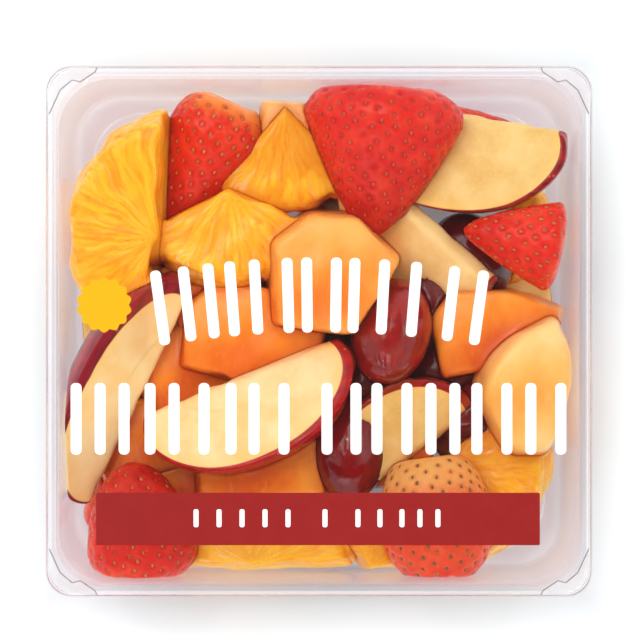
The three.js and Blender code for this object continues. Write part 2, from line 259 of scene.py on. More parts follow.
def soft_inside(shader, weight, colour_depth, scale, mirror=0.22):
    """Light that enters the flesh and comes out near by, traced the quick way, under a weak mirror."""
    shader.subsurface_method = "BURLEY"
    shader.inputs["Specular IOR Level"].default_value = mirror
    shader.inputs["Subsurface Weight"].default_value = weight
    shader.inputs["Subsurface Radius"].default_value = colour_depth
    shader.inputs["Subsurface Scale"].default_value = scale


print("shared group:", WET_FLESH.name, [s.name for s in WET_FLESH.interface.items_tree])

# %% [markdown]
# ## Shapes as rules
# A piece of fruit could be sculpted, but a rule is easier to repeat and to fit: it gives a distance in
# millimetres that is below zero inside the piece. Two rules join with a rounded corner by taking the larger
# distance. Each fruit has its own frame: a strawberry's tip is at -X, and an apple's and an orange's heart
# is at the origin with the round side towards -Y.

# %% Rules for the five fruits


def joined(one, other, width):
    """The larger of two distances, with the corner between them rounded over a width."""
    near = np.maximum(width - np.abs(one - other), 0) / width
    return np.maximum(one, other) + near * near * width / 4


def grape(p, length, width):
    """Distance to an egg shape that lies along X."""
    across = np.sqrt((p[:, 0] * width / length) ** 2 + p[:, 1] ** 2 + p[:, 2] ** 2)
    return across - width / 2


def berry_share(along, shoulder, blunt):
    """How wide a strawberry is at a share of the way from its tip to its leaves; a blunt tip is round."""
    climb = np.clip(along / shoulder, 0, 1)
    tip = blunt * np.sqrt(1 - (1 - climb) ** 2) + (1 - blunt) * climb**1.3
    top = np.clip((along - shoulder) / (1 - shoulder), 0, 2)
    return np.where(along >= shoulder, 1 - 0.42 * top**2.6, tip)


def strawberry(p, length, width, height, shoulder=0.72, blunt=0.5, cut=None):
    """Distance to a strawberry, hollow where its leaves were, and cut flat below if asked."""
    across = np.hypot(p[:, 1], p[:, 2] * width / height)
    from_tip = p[:, 0] + length / 2
    side = across - width / 2 * berry_share(from_tip / length, shoulder, blunt)
    side = np.where(from_tip < 0, np.hypot(across, from_tip), side)
    hull = p[:, 0] - length / 2 + 1.6 * np.exp(-((across / (0.2 * width)) ** 2))
    return joined(joined(side, hull, 3), -p[:, 2] - (height if cut is None else cut), 1)


def apple_skin(p, radius, half):
    """Distance to a whole apple's skin, with a dimple at its stalk and eye."""
    across = np.hypot(p[:, 1], p[:, 2])
    end = half * (1 - 0.2 * np.exp(-((across / (0.3 * radius)) ** 2)))
    swell = (np.abs(p[:, 0]) / end) ** 2.3 + (across / radius) ** 2.2
    return (swell - 1) * radius / 2.2


def apple_wedge(p, radius, half, span=46, core=5.5):
    """Distance to a wedge between two cut faces, with the core taken off."""
    turn = math.radians(span)
    below = p[:, 1] * math.sin(turn) - p[:, 2] * math.cos(turn)
    heart = core + p[:, 1] * math.cos(turn / 2) + p[:, 2] * math.sin(turn / 2)
    cut_faces = np.maximum(p[:, 2], below)
    return joined(joined(apple_skin(p, radius, half), cut_faces, 0.8), heart, 1.6)


def orange_slice(p, radius, thick, long=None, span=170):
    """Distance to part of a slice: round outside, flat above and below, with two cut sides."""
    half = math.radians(span / 2)
    reach = np.sqrt((p[:, 0] / (long or radius)) ** 2 + (p[:, 1] ** 2 + p[:, 2] ** 2) / radius**2)
    round_side = (reach - 1) * radius
    cut_sides = p[:, 1] * math.sin(half) + np.abs(p[:, 0]) * math.cos(half)
    return joined(joined(round_side, np.abs(p[:, 2]) - thick / 2, 3), cut_sides, 2)


def melon_chunk(p, sides, thick, round=1.8):
    """Distance to a chunk with a slightly domed top; each side is (direction, reach, lean)."""
    top = p[:, 2] + (p[:, 0] ** 2 + p[:, 1] ** 2) / 150 - thick / 2
    found = joined(top, -p[:, 2] - thick / 2, round)
    for turn, reach, *lean in sides:
        turn, tilt = math.radians(turn), math.radians(lean[0] if lean else 0)
        way = np.array([math.cos(tilt) * math.cos(turn), math.cos(tilt) * math.sin(turn), math.sin(tilt)])
        found = joined(found, p @ way - reach, round)
    return found


RULES = {
    "grape": grape,
    "strawberry": strawberry,
    "apple": apple_wedge,
    "orange": orange_slice,
    "melon": melon_chunk,
}
print("rules:", ", ".join(RULES))

# %% [markdown]
# ## Where each piece lies
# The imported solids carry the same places, so each fine piece stands exactly where its solid stands. The
# list runs from the film down: a piece lower in the list gives way where it meets one further up, as soft
# fruit does under the lid. Each row is a name, a kind, a place in millimetres, a turn (roll, pitch and yaw
# in degrees) and the sizes that the kind's rule takes.

# %% Places of the fruit that shows


def block(half_length, half_width):
    """The four sides of a plain block of melon."""
    return [[0, half_length, 3], [90, half_width, 3], [180, half_length, 4], [-90, half_width, 3]]


FRUIT = [
    ("strawberry_large", "strawberry", [15.7, 44.3, 35.2], [0, -3, 84],
     dict(length=40, width=41.6, height=27, shoulder=0.76, cut=9)),
    ("melon_middle", "melon", [2.8, 15.2, 36.5], [3, 4, 0],
     dict(thick=24, sides=[[182, 15.4, 4], [128, 16, 2], [88, 15.4, 3], [46, 15.6, 4], [-33, 13.8, 3],
                           [-98, 15.6, 2]])),
    ("apple_middle", "apple", [-22.2, -6.4, 37.5], [-18, 0, 22], dict(radius=29.8, half=32)),
    ("strawberry_right", "strawberry", [50.4, 23.9, 36], [10, 0, -11],
     dict(length=26.5, width=23.8, height=21, shoulder=0.86)),
    ("apple_inner", "apple", [30.2, 31.2, 37.5], [28, 0, -41.6], dict(radius=24.5, half=27)),
    ("grape_middle", "grape", [18.7, 0, 33.5], [0, 8, 78], dict(length=28, width=21)),
    ("strawberry_near_left", "strawberry", [-46.6, -49.6, 34], [0, 4, -82],
     dict(length=32, width=29, height=26, shoulder=0.66, blunt=0.85)),
    ("strawberry_near_right", "strawberry", [30.5, -49.6, 34], [0, 4, 98],
     dict(length=35, width=30, height=27, shoulder=0.43, blunt=0.9)),
    ("melon_right", "melon", [53.6, -10.3, 34], [0, 6, 0],
     dict(thick=23, round=3, sides=[[-4, 12, 6], [27, 13.4, 6], [118, 10.1, 4], [147, 10.2, 4],
                                    [174, 12.4, 4], [210, 15, 3], [268, 21.6, 5], [-23, 13.8, 5]])),
    ("apple_left", "apple", [-41, -18.6, 30.8], [-33, 8, 244.5], dict(radius=26, half=36)),
    ("orange_left", "orange", [-40.2, 25.4, 35.5], [6, 8, -95],
     dict(radius=25.2, long=32, thick=20, span=174)),
    ("orange_middle", "orange", [-23.3, 36.7, 30], [-3, 0, 2], dict(radius=26, thick=19, span=132)),
    ("apple_right", "apple", [37.2, 61.8, 31.5], [-7, -7, -9.7], dict(radius=31, half=33)),
    ("orange_upper", "orange", [-8.9, 58.6, 28], [4, 0, 3], dict(radius=28, thick=18, span=88)),
    ("strawberry_left", "strawberry", [-31.2, 41.4, 29.5], [0, -4, 66],
     dict(length=41, width=25.4, height=22, shoulder=0.74)),
    ("grape_near", "grape", [8.2, -30, 27.5], [0, 8, 86], dict(length=29, width=20)),
    ("apple_near", "apple", [27.5, -36.8, 31], [-12, 0, 217], dict(radius=25, half=23)),
    ("melon_right_inner", "melon", [46, 2.8, 24], [0, -3, 12],
     dict(thick=24, sides=[[78, 8.2, 2], [58, 9.4, 3], [-20, 17, 2], [-88, 12, 3], [180, 17, 4],
                           [130, 14, 2]])),
    ("melon_left_inner", "melon", [-17.5, -1, 25.5], [0, 0, -14],
     dict(thick=24, sides=[[95, 13, 2], [40, 18, 3], [-10, 18.5, 3], [-90, 13, 4], [188, 18, 4],
                           [140, 17, 2]])),
    ("melon_near", "melon", [-15.6, -33, 23.5], [0, 0, 4], dict(thick=21, sides=block(17, 11))),
    ("orange_near_right", "orange", [33.8, -34.8, 20.5], [-6, 0, 58],
     dict(radius=27.5, thick=19, span=172)),
    ("orange_near", "orange", [-17, -62.6, 25], [12, 0, 180],
     dict(radius=24, long=27, thick=17, span=176)),
    ("orange_near_middle", "orange", [13, -62.6, 24], [8, 0, 160], dict(radius=20, thick=16, span=130)),
    ("melon_far", "melon", [-4.8, 51.8, 22], [0, 0, 0],
     dict(thick=28, sides=[[88, 8.4, 2], [72, 8.4, 3], [0, 13, 3], [-90, 10, 3], [180, 10.6, 2]])),
    ("melon_left", "melon", [-36, -9, 21], [0, 8, 20], dict(thick=20, sides=block(11, 11))),
    ("melon_left_low", "melon", [-46, -28, 19], [0, 0, 15], dict(thick=18, sides=block(13, 10))),
    ("grape_right", "grape", [39.6, 19.2, 20], [0, 10, -55], dict(length=25, width=21)),
    ("grape_left", "grape", [-39, 22, 19], [0, 0, 70], dict(length=26, width=20)),
    ("grape_under_melon", "grape", [2, -3, 18], [0, 0, 10], dict(length=27, width=20)),
    ("grape_inner", "grape", [33, -10, 19], [0, 0, -12], dict(length=28, width=20)),
    ("grape_near_right", "grape", [42, -25, 21], [0, 0, 30], dict(length=26, width=19.5)),
]
print("pieces that show from above:", len(FRUIT))

# %% [markdown]
# ## The fruit underneath
# Below the pieces that show lies more of the same fruit. It shows through the clear walls and in the gaps,
# so it is made of real pieces too, with a coarser skin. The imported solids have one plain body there.

# %% Places of the lower fruit
LOWER = [
    ("melon", [-52, 30, 13], [0, 0, 10], dict(thick=20, sides=block(11, 11))),
    ("apple", [-40, 2, 18], [20, 0, -84], dict(radius=24, half=21)),
    ("grape", [-53, -28, 12.5], [0, 0, 80], dict(length=25, width=19)),
    ("strawberry", [-47, -47, 12.5], [0, 0, 150], dict(length=28, width=23, height=20)),
    ("melon", [-24, -50, 12], [0, 0, 8], dict(thick=18, sides=block(12, 10))),
    ("grape", [4, -52, 12], [0, 0, 10], dict(length=26, width=19)),
    ("strawberry", [30, -50, 12], [0, 0, 20], dict(length=28, width=23, height=20)),
    ("melon", [52, -16, 12.5], [0, 0, -6], dict(thick=19, sides=block(11, 14))),
    ("apple", [40, 5, 18], [25, 0, 88], dict(radius=24, half=21)),
    ("orange", [48, 27, 13], [0, 0, 80], dict(radius=15, thick=15)),
    ("strawberry", [40, 50, 13], [0, 0, -170], dict(length=28, width=23, height=20)),
    ("grape", [15, 53, 13], [0, 0, 5], dict(length=26, width=20)),
    ("orange", [-26, 42, 12], [0, 0, 180], dict(radius=18, thick=15)),
    ("melon", [-22, 18, 10], [0, 0, 30], dict(thick=15, sides=block(12, 11))),
    ("melon", [8, 24, 11], [0, 0, -20], dict(thick=17, sides=block(12, 11))),
    ("orange", [-14, -10, 9], [0, 0, -60], dict(radius=18, thick=12)),
    ("melon", [18, -20, 9], [0, 0, 40], dict(thick=13, sides=block(12, 11))),
    ("grape", [12, -13, 22], [0, 0, 60], dict(length=25, width=19)),
    ("grape", [28, 6, 24], [0, 0, 80], dict(length=23, width=17)),
    ("melon", [-31, 11, 23], [0, 0, 20], dict(thick=17, sides=block(9, 9))),
    ("melon", [-33, -36, 17], [0, 0, 5], dict(thick=19, sides=block(10, 9))),
    ("grape", [40, -21, 26], [0, 0, 40], dict(length=21, width=15)),
    ("grape", [-24, 24, 16], [0, 0, -30], dict(length=25, width=19)),
    ("melon", [21, -33, 19], [0, 0, 10], dict(thick=18, sides=block(9, 7))),
]
print("pieces underneath:", len(LOWER))

# %% [markdown]
# ## The tray's own curves
# The tray is a thin-walled square tub with rounded corners. Each ring of it is a rounded rectangle, given
# by how far it lies in from the rim's outline. The free room inside, which the fruit keeps to, is a rule of
# the same form as the fruit's.

# %% Rings of the tray and the room inside
HALF_WIDTH = 70
HALF_DEPTH = 68
TRAY_HEIGHT = 51.6
RIM_CORNER = 6.5
WELL_CORNER = 13


def corner_radius(inset):
    """The rim's corners are tighter than the well's, and the radius grows across the rim."""
    return RIM_CORNER + (WELL_CORNER - RIM_CORNER) * min(max((inset - 1) / 2.5, 0), 1)


def ring(inset, steps):
    """The points of one rounded rectangle, with this many steps round each corner."""
    corner = corner_radius(inset)
    turns = np.radians(np.linspace(0, 90, steps + 1))
    points = []
    for quarter in range(4):
        right = 1 if quarter in (0, 3) else -1
        far = 1 if quarter < 2 else -1
        x = right * (HALF_WIDTH - inset - corner) + corner * np.cos(turns + quarter * math.pi / 2)
        y = far * (HALF_DEPTH - inset - corner) + corner * np.sin(turns + quarter * math.pi / 2)
        points.append(np.stack([x, y], -1))
    return np.concatenate(points)


ROOM_LOW, ROOM_HIGH = 2.55, 51.25
ROOM_HEIGHTS = [ROOM_LOW, 4.6, 46.4, ROOM_HIGH]
ROOM_INSETS = [9, 6.25, 4.15, 3.85]


def room(p):
    """Distance to the free room inside the shut tray, in millimetres."""
    inset = np.interp(p[:, 2], ROOM_HEIGHTS, ROOM_INSETS)
    aside = np.abs(p[:, :2]) - np.stack([HALF_WIDTH - inset, HALF_DEPTH - inset], -1) + WELL_CORNER
    walls = np.hypot(*np.maximum(aside, 0).T) + np.minimum(aside.max(1), 0) - WELL_CORNER
    return np.maximum(walls, np.maximum(p[:, 2] - ROOM_HIGH, ROOM_LOW - p[:, 2]))


print("a ring with 12 steps per corner has", len(ring(2, 12)), "points")

# %% [markdown]
# ## From a rule to a mesh
# The rule is read on a fine grid. In each small box of the grid that the surface passes through, one point
# is set at the mean of the crossings, and four such points round a crossed edge make a face. Blender's own
# Remesh modifier works the same way; doing it here keeps every point exactly on the rule, because each is
# then moved the last bit along the slope.

# %% Grid to faces


def crossed_faces(values, low, step):
    """Points and four-sided faces where the values on a grid change sign."""
    cells = np.array(values.shape) - 1
    total, count = np.zeros((*cells, 3)), np.zeros(cells)
    inside = values < 0
    edges = []
    for axis in range(3):
        size = values.shape[axis]
        first = values.take(range(size - 1), axis)
        second = values.take(range(1, size), axis)
        crossing = inside.take(range(size - 1), axis) != inside.take(range(1, size), axis)
        share = np.where(crossing, first / np.where(crossing, first - second, 1), 0)
        point = low + step * np.stack(np.indices(first.shape), -1).astype(float)
        point[..., axis] += step * share
        one, other = [a for a in range(3) if a != axis]
        for back_one in (0, 1):
            for back_other in (0, 1):
                part = [slice(None)] * 3
                part[one] = slice(back_one, back_one + cells[one])
                part[other] = slice(back_other, back_other + cells[other])
                part = tuple(part)
                total += np.where(crossing[part][..., None], point[part], 0)
                count += crossing[part]
        edges.append((crossing, inside.take(range(size - 1), axis), axis, one, other))
    used = count > 0
    number = np.full(cells, -1)
    number[used] = np.arange(used.sum())
    faces = []
    for crossing, starts_inside, axis, one, other in edges:
        at = np.argwhere(crossing)
        back = np.zeros((4, 3), int)
        back[1, one] = back[2, one] = 1
        back[2, other] = back[3, other] = 1
        found = np.stack([number[tuple((at - step_back).T)] for step_back in back], -1)
        flip = starts_inside[tuple(at.T)] == (axis == 1)
        found[flip] = found[flip][:, ::-1]
        faces.append(found)
    return total[used] / count[used][:, None], np.concatenate(faces)


def largest_part(points, faces):
    """The largest connected part of a mesh."""
    label = np.arange(len(points))
    while True:
        lower = label.copy()
        np.minimum.at(lower, faces.ravel(), np.repeat(label[faces].min(1), 4))
        lower = lower[lower]
        if (lower == label).all():
            break
        label = lower
    kept = label == np.bincount(label).argmax()
    number = np.cumsum(kept) - 1
    return points[kept], number[faces[kept[faces].all(1)]]


def slope(rule, points, step=0.02):
    """The rule's direction of growth at each point, of length 1."""
    found = np.empty_like(points)
    for axis in range(3):
        move = np.zeros(3)
        move[axis] = step
        found[:, axis] = rule(points + move) - rule(points - move)
    return found / np.maximum(np.linalg.norm(found, axis=1), 1e-9)[:, None]


def skin_of(rule, low, high, step):
    """A closed mesh on the surface of a rule inside a box."""
    counts = np.ceil((high - low) / step).astype(int) + 1
    grid = low + step * np.stack(np.indices(counts), -1).reshape(-1, 3)
    points, faces = largest_part(*crossed_faces(rule(grid).reshape(counts), low, step))
    for _ in range(2):
        away = slope(rule, points)
        points = points - np.clip(rule(points), -0.3, 0.3)[:, None] * away
    return points, faces


ball = skin_of(lambda p: grape(p, 20, 20), np.full(3, -12.0), np.full(3, 12.0), 1.0)
print("a ball of radius 10 mm gets", len(ball[1]), "faces")

# %% [markdown]
# ## Laying a piece down
# A piece's frame is turned by roll, pitch and yaw and moved to its place. Its full rule is its own shape,
# less what lies on it, and kept inside the tray. Only the pieces that come near are asked. Between two
# pieces a hair's breadth is left free, and the corners that the cuts leave are rounded over a small width.

# %% Frames and fitted rules
LEFT_FREE = 0.02
PRESSED_CORNER = 0.2
ROOM_CORNER = 0.6


def turned(turn):
    """The matrix whose columns are a piece's own axes after roll, pitch and yaw."""
    (cx, sx), (cy, sy), (cz, sz) = [(math.cos(angle), math.sin(angle)) for angle in np.radians(turn)]
    about_x = np.array([[1, 0, 0], [0, cx, -sx], [0, sx, cx]])
    about_y = np.array([[cy, 0, sy], [0, 1, 0], [-sy, 0, cy]])
    about_z = np.array([[cz, -sz, 0], [sz, cz, 0], [0, 0, 1]])
    return about_z @ about_y @ about_x


class Piece:
    """A piece of fruit with its rule and its place."""

    def __init__(self, name, kind, at, turn, size):
        self.name, self.kind, self.size = name, kind, size
        self.at, self.axes = np.array(at, float), turned(turn)
        coarse = np.stack(np.indices((27, 27, 27)), -1).reshape(-1, 3) * 3.0 - 39
        inner = coarse[self.own(coarse) < 1.5]
        self.low, self.high = inner.min(0) - 3, inner.max(0) + 3
        placed = self.outward(inner)
        self.box = placed.min(0) - 3, placed.max(0) + 3

    def own(self, points):
        """The piece's own rule, in its own frame."""
        return RULES[self.kind](points, **self.size)

    def inward(self, points):
        """Points of the pack in the piece's frame."""
        return (points - self.at) @ self.axes

    def outward(self, points):
        """Points of the piece's frame in the pack."""
        return points @ self.axes.T + self.at

    def meets(self, other):
        """Whether the boxes of two pieces overlap."""
        return (self.box[0] < other.box[1]).all() and (other.box[0] < self.box[1]).all()

    def fitted(self, above):
        """The piece's rule in its own frame, less what lies on it."""
        near = [other for other in above if self.meets(other)]

        def rule(points):
            placed = self.outward(points)
            found = self.own(points)
            for other in near:
                found = joined(found, LEFT_FREE - other.own(other.inward(placed)), PRESSED_CORNER)
            return joined(found, room(placed), ROOM_CORNER)

        return rule


upper_pieces = [Piece(*row) for row in FRUIT]
lower_pieces = [Piece(f"{kind}_low_{n}", kind, *rest) for n, (kind, *rest) in enumerate(LOWER)]
print("largest piece:", max(upper_pieces, key=lambda p: np.prod(p.high - p.low)).name)

# %% [markdown]
# ## Meshes with readings
# A finish often needs to know more than a point's place: how deep it lies in a pit, or how near it is to
# the skin. Such values are stored on the mesh as attributes, and the materials read them by name.

# %% Mesh helpers


def mesh_object(name, points, faces, finish, readings=None, smooth=True):
    """A new object from points in millimetres, faces, a material and attributes by name."""
    mesh = bpy.data.meshes.new(name)
    mesh.from_pydata((np.asarray(points) * MM).tolist(), [], [list(map(int, face)) for face in faces])
    for label, values in (readings or {}).items():
        kind, key = ("FLOAT_VECTOR", "vector") if values.ndim == 2 else ("FLOAT", "value")
        mesh.attributes.new(label, kind, "POINT").data.foreach_set(key, values.astype(np.float32).ravel())
    mesh.polygons.foreach_set("use_smooth", [smooth] * len(mesh.polygons))
    mesh.materials.append(finish)
    made = bpy.data.objects.new(name, mesh)
    bpy.context.scene.collection.objects.link(made)
    return made


def dress(piece, slot_name, *nodes):
    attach(piece, "root")
    if nodes:
        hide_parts(*nodes)
    return piece


def waves(points, size, seed, count=14):
    """Smooth unevenness between about -1 and 1, with bumps of about this size in millimetres."""
    rng = np.random.default_rng(seed)
    ways = rng.normal(size=(count, 3))
    ways *= (2 * math.pi / size / np.linalg.norm(ways, axis=1) * rng.uniform(0.6, 1.3, count))[:, None]
    return np.sin(points @ ways.T + rng.uniform(0, 6.28, count)).sum(1) / math.sqrt(count)


def nearest_two(points, marks):
    """For each point, how far its nearest two marks are, and which mark is the nearest."""
    tree = kdtree.KDTree(len(marks))
    for number, mark in enumerate(marks):
        tree.insert(mark, number)
    tree.balance()
    found = [tree.find_n(point, 2) for point in points]
    return np.array([[one[2], two[2], one[1]] for one, two in found]).T


print("uneven by", waves(np.arange(30.0).reshape(10, 3), 10, 1).round(1), "at ten places")

# %% [markdown]
# ## Strawberry skin
# A strawberry's skin is glossy and red, paler towards the leaves, and every seed sits in its own small pit.
# The pits are set on a spiral, so they are evenly spread as on the real fruit. They are pressed into the
# mesh, and the seeds themselves are laid in later by Geometry Nodes.

# %% Strawberry: pits and colours
PIT_SPACING = 3.4
PIT_WIDTH = 0.95
PIT_DEPTH = 0.5


def berry_pits(piece):
    """Where the pits of a strawberry lie, in its own frame."""
    size = piece.size
    along = np.linspace(0.015, 0.97, 400)
    share = berry_share(along, size.get("shoulder", 0.72), size.get("blunt", 0.5))
    radius = size["width"] / 2 * share
    flat = (1 + size["height"] / size["width"]) / 2
    area = np.cumsum(2 * math.pi * radius * flat) * size["length"] * (along[1] - along[0])
    count = int(area[-1] / (PIT_SPACING * PIT_SPACING * 0.87))
    rng = np.random.default_rng(len(piece.name))
    at = np.interp((np.arange(count) + 0.5) / count * area[-1], area, along)
    turn = np.arange(count) * math.pi * (3 - math.sqrt(5)) + rng.normal(0, 0.03, count)
    across = np.interp(at, along, radius)
    pits = np.stack([at * size["length"] - size["length"] / 2, across * np.cos(turn),
                     across * np.sin(turn) * size["height"] / size["width"]], -1)
    return pits + rng.normal(0, 0.16, pits.shape)


def strawberry_skin(name, tip, body, shoulder, shoulder_at=0.8, pit_shade_colour=None):
    """A strawberry's finish: its colours from tip to leaves, with a darker red painted into the pits as
    shade.
    """
    finish, tree, shader = new_finish(name)
    flesh = wet_flesh(tree, reading(tree, "own_place", "Vector"), 160, 1400, 0.72)
    wander = level(tree, flesh["Clouds"], 0, 1, -0.07, 0.07)
    along = maths(tree, "ADD", reading(tree, "along"), wander)
    colour = ramp(tree, along, [(0.0, tip), (max(shoulder_at - 0.42, 0.1), body), (shoulder_at - 0.1, body),
                                (min(shoulder_at + 0.16, 1), shoulder)])
    lighter = level(tree, flesh["Clouds"], 0.2, 1, 0, 0.28)
    colour = mixed(tree, lighter, colour, tone(255, 88, 36))
    # Painted shade: the pits are darkened towards a deep red, or a brown on a half-ripe berry.
    around = level(tree, reading(tree, "pit"), 0.2, 1.0, 0, 0.7)
    colour = mixed(tree, around, colour, pit_shade_colour or tone(168, 12, 8))
    # Painted shade where other pieces are near.
    colour = painted_crevice_shade(tree, colour, tone(150, 8, 6))
    tree.links.new(colour, shader.inputs["Base Color"])
    tree.links.new(level(tree, flesh["Dullness"], 0, 1, 0.18, 0.42), shader.inputs["Roughness"])
    shader.inputs["Coat Weight"].default_value = 0.2
    shader.inputs["Coat Roughness"].default_value = 0.05
    soft_inside(shader, 0.22, (1.0, 0.18, 0.08), 0.0018, 0.12)
    skin_deep(tree, shader, noise(tree, reading(tree, "own_place", "Vector"), 750, 2, 0.6), 0.16, 0.0003)
    return finish


def strawberry_relief(piece, points):
    """How far each point is pressed in, and the readings that the skin uses."""
    near, _, _ = nearest_two(points, berry_pits(piece))
    pit = np.exp(-((near / PIT_WIDTH) ** 2))
    swells = 0.16 * (1 + waves(points, 9, 3)) / 2 + 0.05 * (1 + waves(points, 1.9, 8, 24)) / 2
    press = -PIT_DEPTH * pit - swells
    along = points[:, 0] / piece.size["length"] + 0.5
    return press, {"pit": pit, "along": along, "own_place": points * MM}


STRAWBERRIES = {
    "strawberry_large": strawberry_skin("skin_bright_red", tone(186, 18, 14), tone(218, 34, 24),
                                        tone(234, 68, 36), 1.05),
    "strawberry_right": strawberry_skin("skin_clear_red", tone(200, 24, 12), tone(222, 36, 18),
                                        tone(234, 72, 38), 1.0),
    "strawberry_near_left": strawberry_skin("skin_deep_red", tone(176, 16, 14), tone(214, 32, 20),
                                            tone(238, 72, 34), 0.95),
    "strawberry_left": strawberry_skin("skin_warm_red", tone(176, 16, 8), tone(222, 40, 12),
                                       tone(250, 156, 60), 0.93),
    # Its last colour is the painted shade in the pits.
    "strawberry_near_right": strawberry_skin("skin_half_ripe", tone(216, 40, 20), tone(232, 74, 34),
                                             tone(236, 174, 92), 0.66, tone(190, 100, 40)),
    "": strawberry_skin("skin_red", tone(196, 24, 16), tone(226, 44, 26), tone(236, 110, 70), 0.95),
}
print("strawberry finishes:", len(STRAWBERRIES))

# %% [markdown]
# ## Orange flesh
# Inside an orange, long thin juice sacs run from the heart to the peel. They could be painted, but their
# bulging sides catch the light, so they are in the mesh: marks are scattered in a stretched space, and the
# border between the two nearest marks becomes a groove. The same reading tints each sac a little, and
# darkens the grooves as painted shade. The rim and the cut sides are pressed in unevenly, because an
# orange tears as much as it cuts.

# %% Orange: juice sacs and colours


def orange_flesh(name, deep, body, light):
    """An orange's finish: sacs of uneven colour with painted shade in the grooves, pale streaks and a paler
    outer edge.
    """
    finish, tree, shader = new_finish(name)
    streak = reading(tree, "streak", "Vector")
    flesh = wet_flesh(tree, streak, 1.1, 9.0, 0.66)
    # The sacs' random tones, with painted shade in the grooves between them.
    sac = maths(tree, "MULTIPLY", reading(tree, "sac"), 0.55)
    cloud = maths(tree, "MULTIPLY", flesh["Clouds"], 0.45)
    colour = ramp(tree, maths(tree, "ADD", sac, cloud), [(0.08, deep), (0.45, body), (0.92, light)])
    fibres = level(tree, noise(tree, streak, 1.6, 5, 0.7), 0.54, 0.8, 0, 0.55)
    colour = mixed(tree, fibres, colour, tone(255, 206, 84))
    pith = level(tree, reading(tree, "pith"), 0.2, 1.0, 0, 0.5)
    colour = mixed(tree, pith, colour, tone(255, 226, 150))
    winding = noise(tree, stretched(tree, streak, (0.55, 0.32, 0.5)), 1.0, 2, 0.5)
    thread = add(tree, "ShaderNodeMath", {0: winding, 1: 0.5, 2: 0.012}, operation="COMPARE").outputs[0]
    patchy = level(tree, noise(tree, streak, 0.25, 1), 0.5, 0.66)
    thread = maths(tree, "MULTIPLY", level(tree, thread, 0, 1, 0, 0.45), patchy)
    colour = mixed(tree, thread, colour, tone(255, 236, 176))
    # Painted shade where other pieces are near.
    colour = painted_crevice_shade(tree, colour, tone(214, 96, 4))
    tree.links.new(colour, shader.inputs["Base Color"])
    tree.links.new(level(tree, flesh["Dullness"], 0, 1, 0.2, 0.5), shader.inputs["Roughness"])
    shader.inputs["Coat Weight"].default_value = 0.15
    shader.inputs["Coat Roughness"].default_value = 0.15
    soft_inside(shader, 0.3, (1.0, 0.5, 0.12), 0.003)
    skin_deep(tree, shader, noise(tree, streak, 5.0, 3, 0.6), 0.3, 0.0003)
    return finish


SEGMENT = math.radians(38)
SACS = 4195
TORN_DEPTH = {"orange_left": 2.8}


def orange_relief(piece, points):
    """Grooves between the juice sacs, membranes between segments, and readings for the colour."""
    size = piece.size
    radius, long = size["radius"], size.get("long", size["radius"])
    reach = np.hypot(points[:, 0] * radius / long, points[:, 1])
    turn = np.arctan2(points[:, 0], -points[:, 1])
    turn += 0.03 * waves(points, 8, 5)
    streak = np.stack([turn * 13, reach / 7.0, points[:, 2] / 1.5], -1)
    rng = np.random.default_rng(sum(map(ord, piece.name)))
    marks = rng.uniform([-23, -0.5, -8], [23, 5.5, 8], (SACS, 3))
    near, second, which = nearest_two(streak, marks)
    groove = np.exp(-(((second - near) / 0.16) ** 2))
    from_wall = np.abs((turn / SEGMENT + 0.5 + piece.at[0] / 50) % 1 - 0.5) * SEGMENT * reach
    wall = np.exp(-((from_wall / 0.45) ** 2)) * (reach > 4)
    bulge = -0.12 * groove - 0.22 * np.clip(near, 0, 0.8) ** 2
    press = np.clip(reach / 9, 0.1, 1) * bulge - 0.4 * (1 + waves(points, 9, 4)) / 2
    rim = np.sqrt((points[:, 0] / long) ** 2 + (points[:, 1] ** 2 + points[:, 2] ** 2) / radius**2)
    edge = np.exp(-(((rim - 1) * radius / 0.9) ** 2))
    half = math.radians(size.get("span", 170) / 2)
    from_cut = points[:, 1] * math.sin(half) + np.abs(points[:, 0]) * math.cos(half)
    cut_side = np.exp(-((from_cut / 1.2) ** 2))
    ragged = edge * (1 + waves(points, 15, len(piece.name))) / 2
    ragged += 0.7 * cut_side * (1 + waves(points, 11, 12)) / 2
    torn = TORN_DEPTH.get(piece.name, 0) * cut_side * np.clip((points[:, 0] - 1) / 8, 0, 1)
    press -= 1.3 * ragged + torn
    pith = np.clip(edge * (0.3 + 0.5 * waves(points, 6, 8)) + 0.4 * wall, 0, 1)
    # Each sac's own random tone, darkened along the grooves as painted shade.
    shade = rng.uniform(0, 1, len(marks))[which.astype(int)] * (1 - 0.6 * groove)
    return press, {"streak": streak, "sac": shade, "pith": pith}


ORANGES = {
    "": orange_flesh("flesh_orange", tone(250, 152, 4), tone(254, 180, 14), tone(255, 204, 44)),
    "orange_near_right": orange_flesh("flesh_orange_deep", tone(236, 146, 0), tone(246, 174, 2),
                                      tone(250, 196, 14)),
    "orange_near": orange_flesh("flesh_orange_pale", tone(250, 160, 12), tone(254, 186, 28),
                                tone(255, 210, 70)),
}
print("orange finishes:", len(ORANGES))
